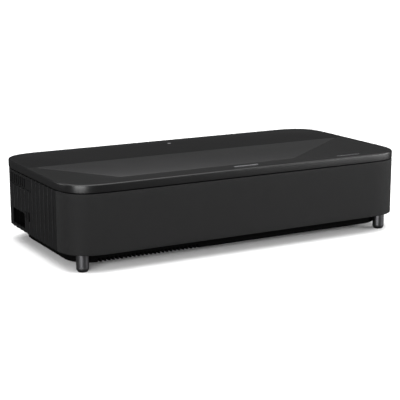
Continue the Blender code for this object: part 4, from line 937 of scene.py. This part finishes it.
for face in lid.data.polygons:
    on_deck = face.center.y > CREASE_Y and face.center.z < RIM_TOP + 0.0001
    face.material_index = int(on_deck and face.normal.z > 0.7)

# an inner lip hangs behind the tops of the panels and closes the gap under the lid
SHELF_INSET, SHELF_LOW, SHELF_HIGH = 0.0030, 0.1396, 0.1412
LIP_OUTER, LIP_INNER, LIP_LOW = 0.0092, 0.0110, 0.1350
lip_rings = [
    (SHELF_INSET, SHELF_LOW), (SHELF_INSET, SHELF_HIGH), (LIP_INNER, SHELF_HIGH), (LIP_INNER, LIP_LOW),
    (LIP_OUTER, LIP_LOW), (LIP_OUTER, SHELF_LOW),
]
data = bmesh.new()
rows = [[data.verts.new((x, y, z)) for x, y in cabinet(inset)] for inset, z in lip_rings]
for a, b in zip(rows, rows[1:] + rows[:1]):
    for i in range(len(a)):
        j = (i + 1) % len(a)
        data.faces.new([a[i], a[j], b[j], b[i]])
dress(placed(settle("lid_inner_lip", data)), black_base, "cabinet", "case_black")

# ------------------------------------------------------------------------------------------------
# Lens door. A moulded wedge that lies over the deck, flush with the facets, and slides back on two arms.
# It is satin plastic with softened edges, and its arms pass through slots in the deck to the drive below.
DOOR_LOW, DOOR_GAP = DECK_TOP + 0.0004, 0.0006
slope = (RIDGE_TOP - RIM_TOP) / (CREASE_Y - RIDGE_Y)
plan = [
    (DOOR_REAR[0] + 0.012, CREASE_Y),
    (DOOR_REAR[0] + 0.0035, CREASE_Y - 0.0020),
    (DOOR_FRONT[0] + DOOR_GAP, RIDGE_Y + 0.0005),
    (DOOR_FRONT[1] - DOOR_GAP, RIDGE_Y + 0.0005),
    (DOOR_REAR[1] - 0.0080, CREASE_Y - 0.0055),
    (DOOR_REAR[1] - 0.014, CREASE_Y),
]
underside = [(x, y, DOOR_LOW) for x, y in plan]
upper_face = [(x, y, RIM_TOP + (CREASE_Y - y) * slope) for x, y in plan]
door = soften(placed(loft("lens_door_moulded", [underside, upper_face])), 0.0007, 3)
# The door gets a lighter, slightly rougher copy of the lid's satin; its lighter colour is painted light.
door_painted_light = moulded("satin door, painted lighter", (0.011, 0.011, 0.0114), 0.36, grain=0.0006, depth=0.12)
dress(door, door_painted_light, "lens_door", "case_black", "lens_door")
ARM_HALF, ARM_LOW = 0.0015, 0.1380
for label, x in zip(("left", "right"), ARMS_X):
    corner = (x - ARM_HALF, ARM_Y[0], ARM_LOW)
    arm = block(f"door_arm_{label}", corner, (x + ARM_HALF, ARM_Y[1], DOOR_LOW + 0.0008), 0.0003)
    dress(placed(arm), case_plastic, "lens_door", "case_black")

# ------------------------------------------------------------------------------------------------
# Small trim. A grey strip where a maker would put a badge, a status light slit, and a sensor window.
# The strip is brushed metal stuck to the front of the lid, and both windows are smoked plastic set in it.
badge_look = brushed("satin grey strip", (0.30, 0.30, 0.31), 0.4, (900, 60, 60))
dress(brought("badge_strip", 0.0001), badge_look, "cabinet", "badge_grey", "badge_strip")
smoke = glassy("smoked window", (0.03, 0.03, 0.034), 0.06, 1.0)
dress(brought("status_light", 0.0003), smoke, "cabinet", "window_glass", "status_light")
SENSOR_BULGE = 0.0016
low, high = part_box("rear_sensor")
bends = [math.pi / 2 * i / 8 for i in range(8)]
dome = [(SENSOR_R * math.cos(t), high.z - SENSOR_BULGE * (1 - math.sin(t))) for t in bends]
sensor = turned("rear_sensor_moulded", [(0, low.z), (SENSOR_R, low.z), *dome, (0, high.z)], (0, SENSOR_Y, 0))
dress(placed(sensor), smoke, "cabinet", "window_glass", "rear_sensor")

# ------------------------------------------------------------------------------------------------
# Room. A plain pale floor under a studio dome that is bright overhead and dim near the floor, with one
# softbox off each front corner and a weak one off the rear left corner.
FLOOR_HALF, FLOOR_DROP = 60, 0.0002
floor_corners = [
    (sx * FLOOR_HALF, sy * FLOOR_HALF, -FLOOR_DROP) for sx, sy in ((-1, -1), (1, -1), (1, 1), (-1, 1))
]
floor_mesh = bpy.data.meshes.new("floor")
floor_mesh.from_pydata(floor_corners, [], [(0, 1, 2, 3)])
floor = placed(floor_mesh)
floor_look = bpy.data.materials.new("pale floor")
floor_look.use_nodes = True
nodes, wire = floor_look.node_tree.nodes, floor_look.node_tree.links.new
pale = nodes["Principled BSDF"]
pale.inputs["Roughness"].default_value = 0.9
pale.inputs["Specular IOR Level"].default_value = 0.0
ray = nodes.new("ShaderNodeLightPath")
seen = nodes.new("ShaderNodeMapRange")
FLOOR_BOUNCE, FLOOR_SEEN = 0.04, 0.97
seen.inputs["To Min"].default_value, seen.inputs["To Max"].default_value = FLOOR_BOUNCE, FLOOR_SEEN
wire(ray.outputs["Is Camera Ray"], seen.inputs["Value"])
wire(seen.outputs["Result"], pale.inputs["Base Color"])
floor.data.materials.append(floor_look)

world = bpy.data.worlds.new("studio dome")
world.use_nodes = True
nodes, wire = world.node_tree.nodes, world.node_tree.links.new
toward = nodes.new("ShaderNodeTexCoord")
rise = nodes.new("ShaderNodeSeparateXYZ")
wire(toward.outputs["Generated"], rise.inputs["Vector"])
ramp = nodes.new("ShaderNodeValToRGB")
DOME = (  # height above the floor, brightness
    (0.0, 0.04), (0.18, 0.06), (0.50, 0.12), (0.66, 0.35), (0.86, 3.1), (1.0, 3.4),
)
DOME_TOP = DOME[-1][1]
for _ in range(len(DOME) - 2):
    ramp.color_ramp.elements.new(0.5)
for stop, (height, bright) in zip(ramp.color_ramp.elements, DOME):
    stop.position, stop.color = height, (bright / DOME_TOP, bright / DOME_TOP, bright / DOME_TOP, 1)
wire(rise.outputs["Z"], ramp.inputs["Fac"])
wire(ramp.outputs["Color"], nodes["Background"].inputs["Color"])
nodes["Background"].inputs["Strength"].default_value = DOME_TOP
bpy.context.scene.world = world
bpy.context.scene.view_settings.view_transform = "Standard"

LIGHTS = (  # name, place, aim, size, power in watts
    ("softbox_right", (2.1, -1.37, 0.52), (0.25, -0.1, 0.1), (2.0, 1.0), 53),
    ("softbox_left", (-1.7, -1.5, 0.47), (-0.3, -0.1, 0.1), (1.6, 0.9), 52),
    ("softbox_rear_left", (-2.2, 1.2, 0.62), (-0.34, 0.1, 0.1), (1.2, 0.8), 11),
)
for name, spot, aim, size, power in LIGHTS:
    lamp = bpy.data.lights.new(name, "AREA")
    lamp.shape, lamp.energy = "RECTANGLE", power
    lamp.size, lamp.size_y = size
    holder = bpy.data.objects.new(name, lamp)
    holder.location = spot
    holder.rotation_euler = (Vector(spot) - Vector(aim)).to_track_quat("Z", "Y").to_euler()
    bpy.context.scene.collection.objects.link(holder)
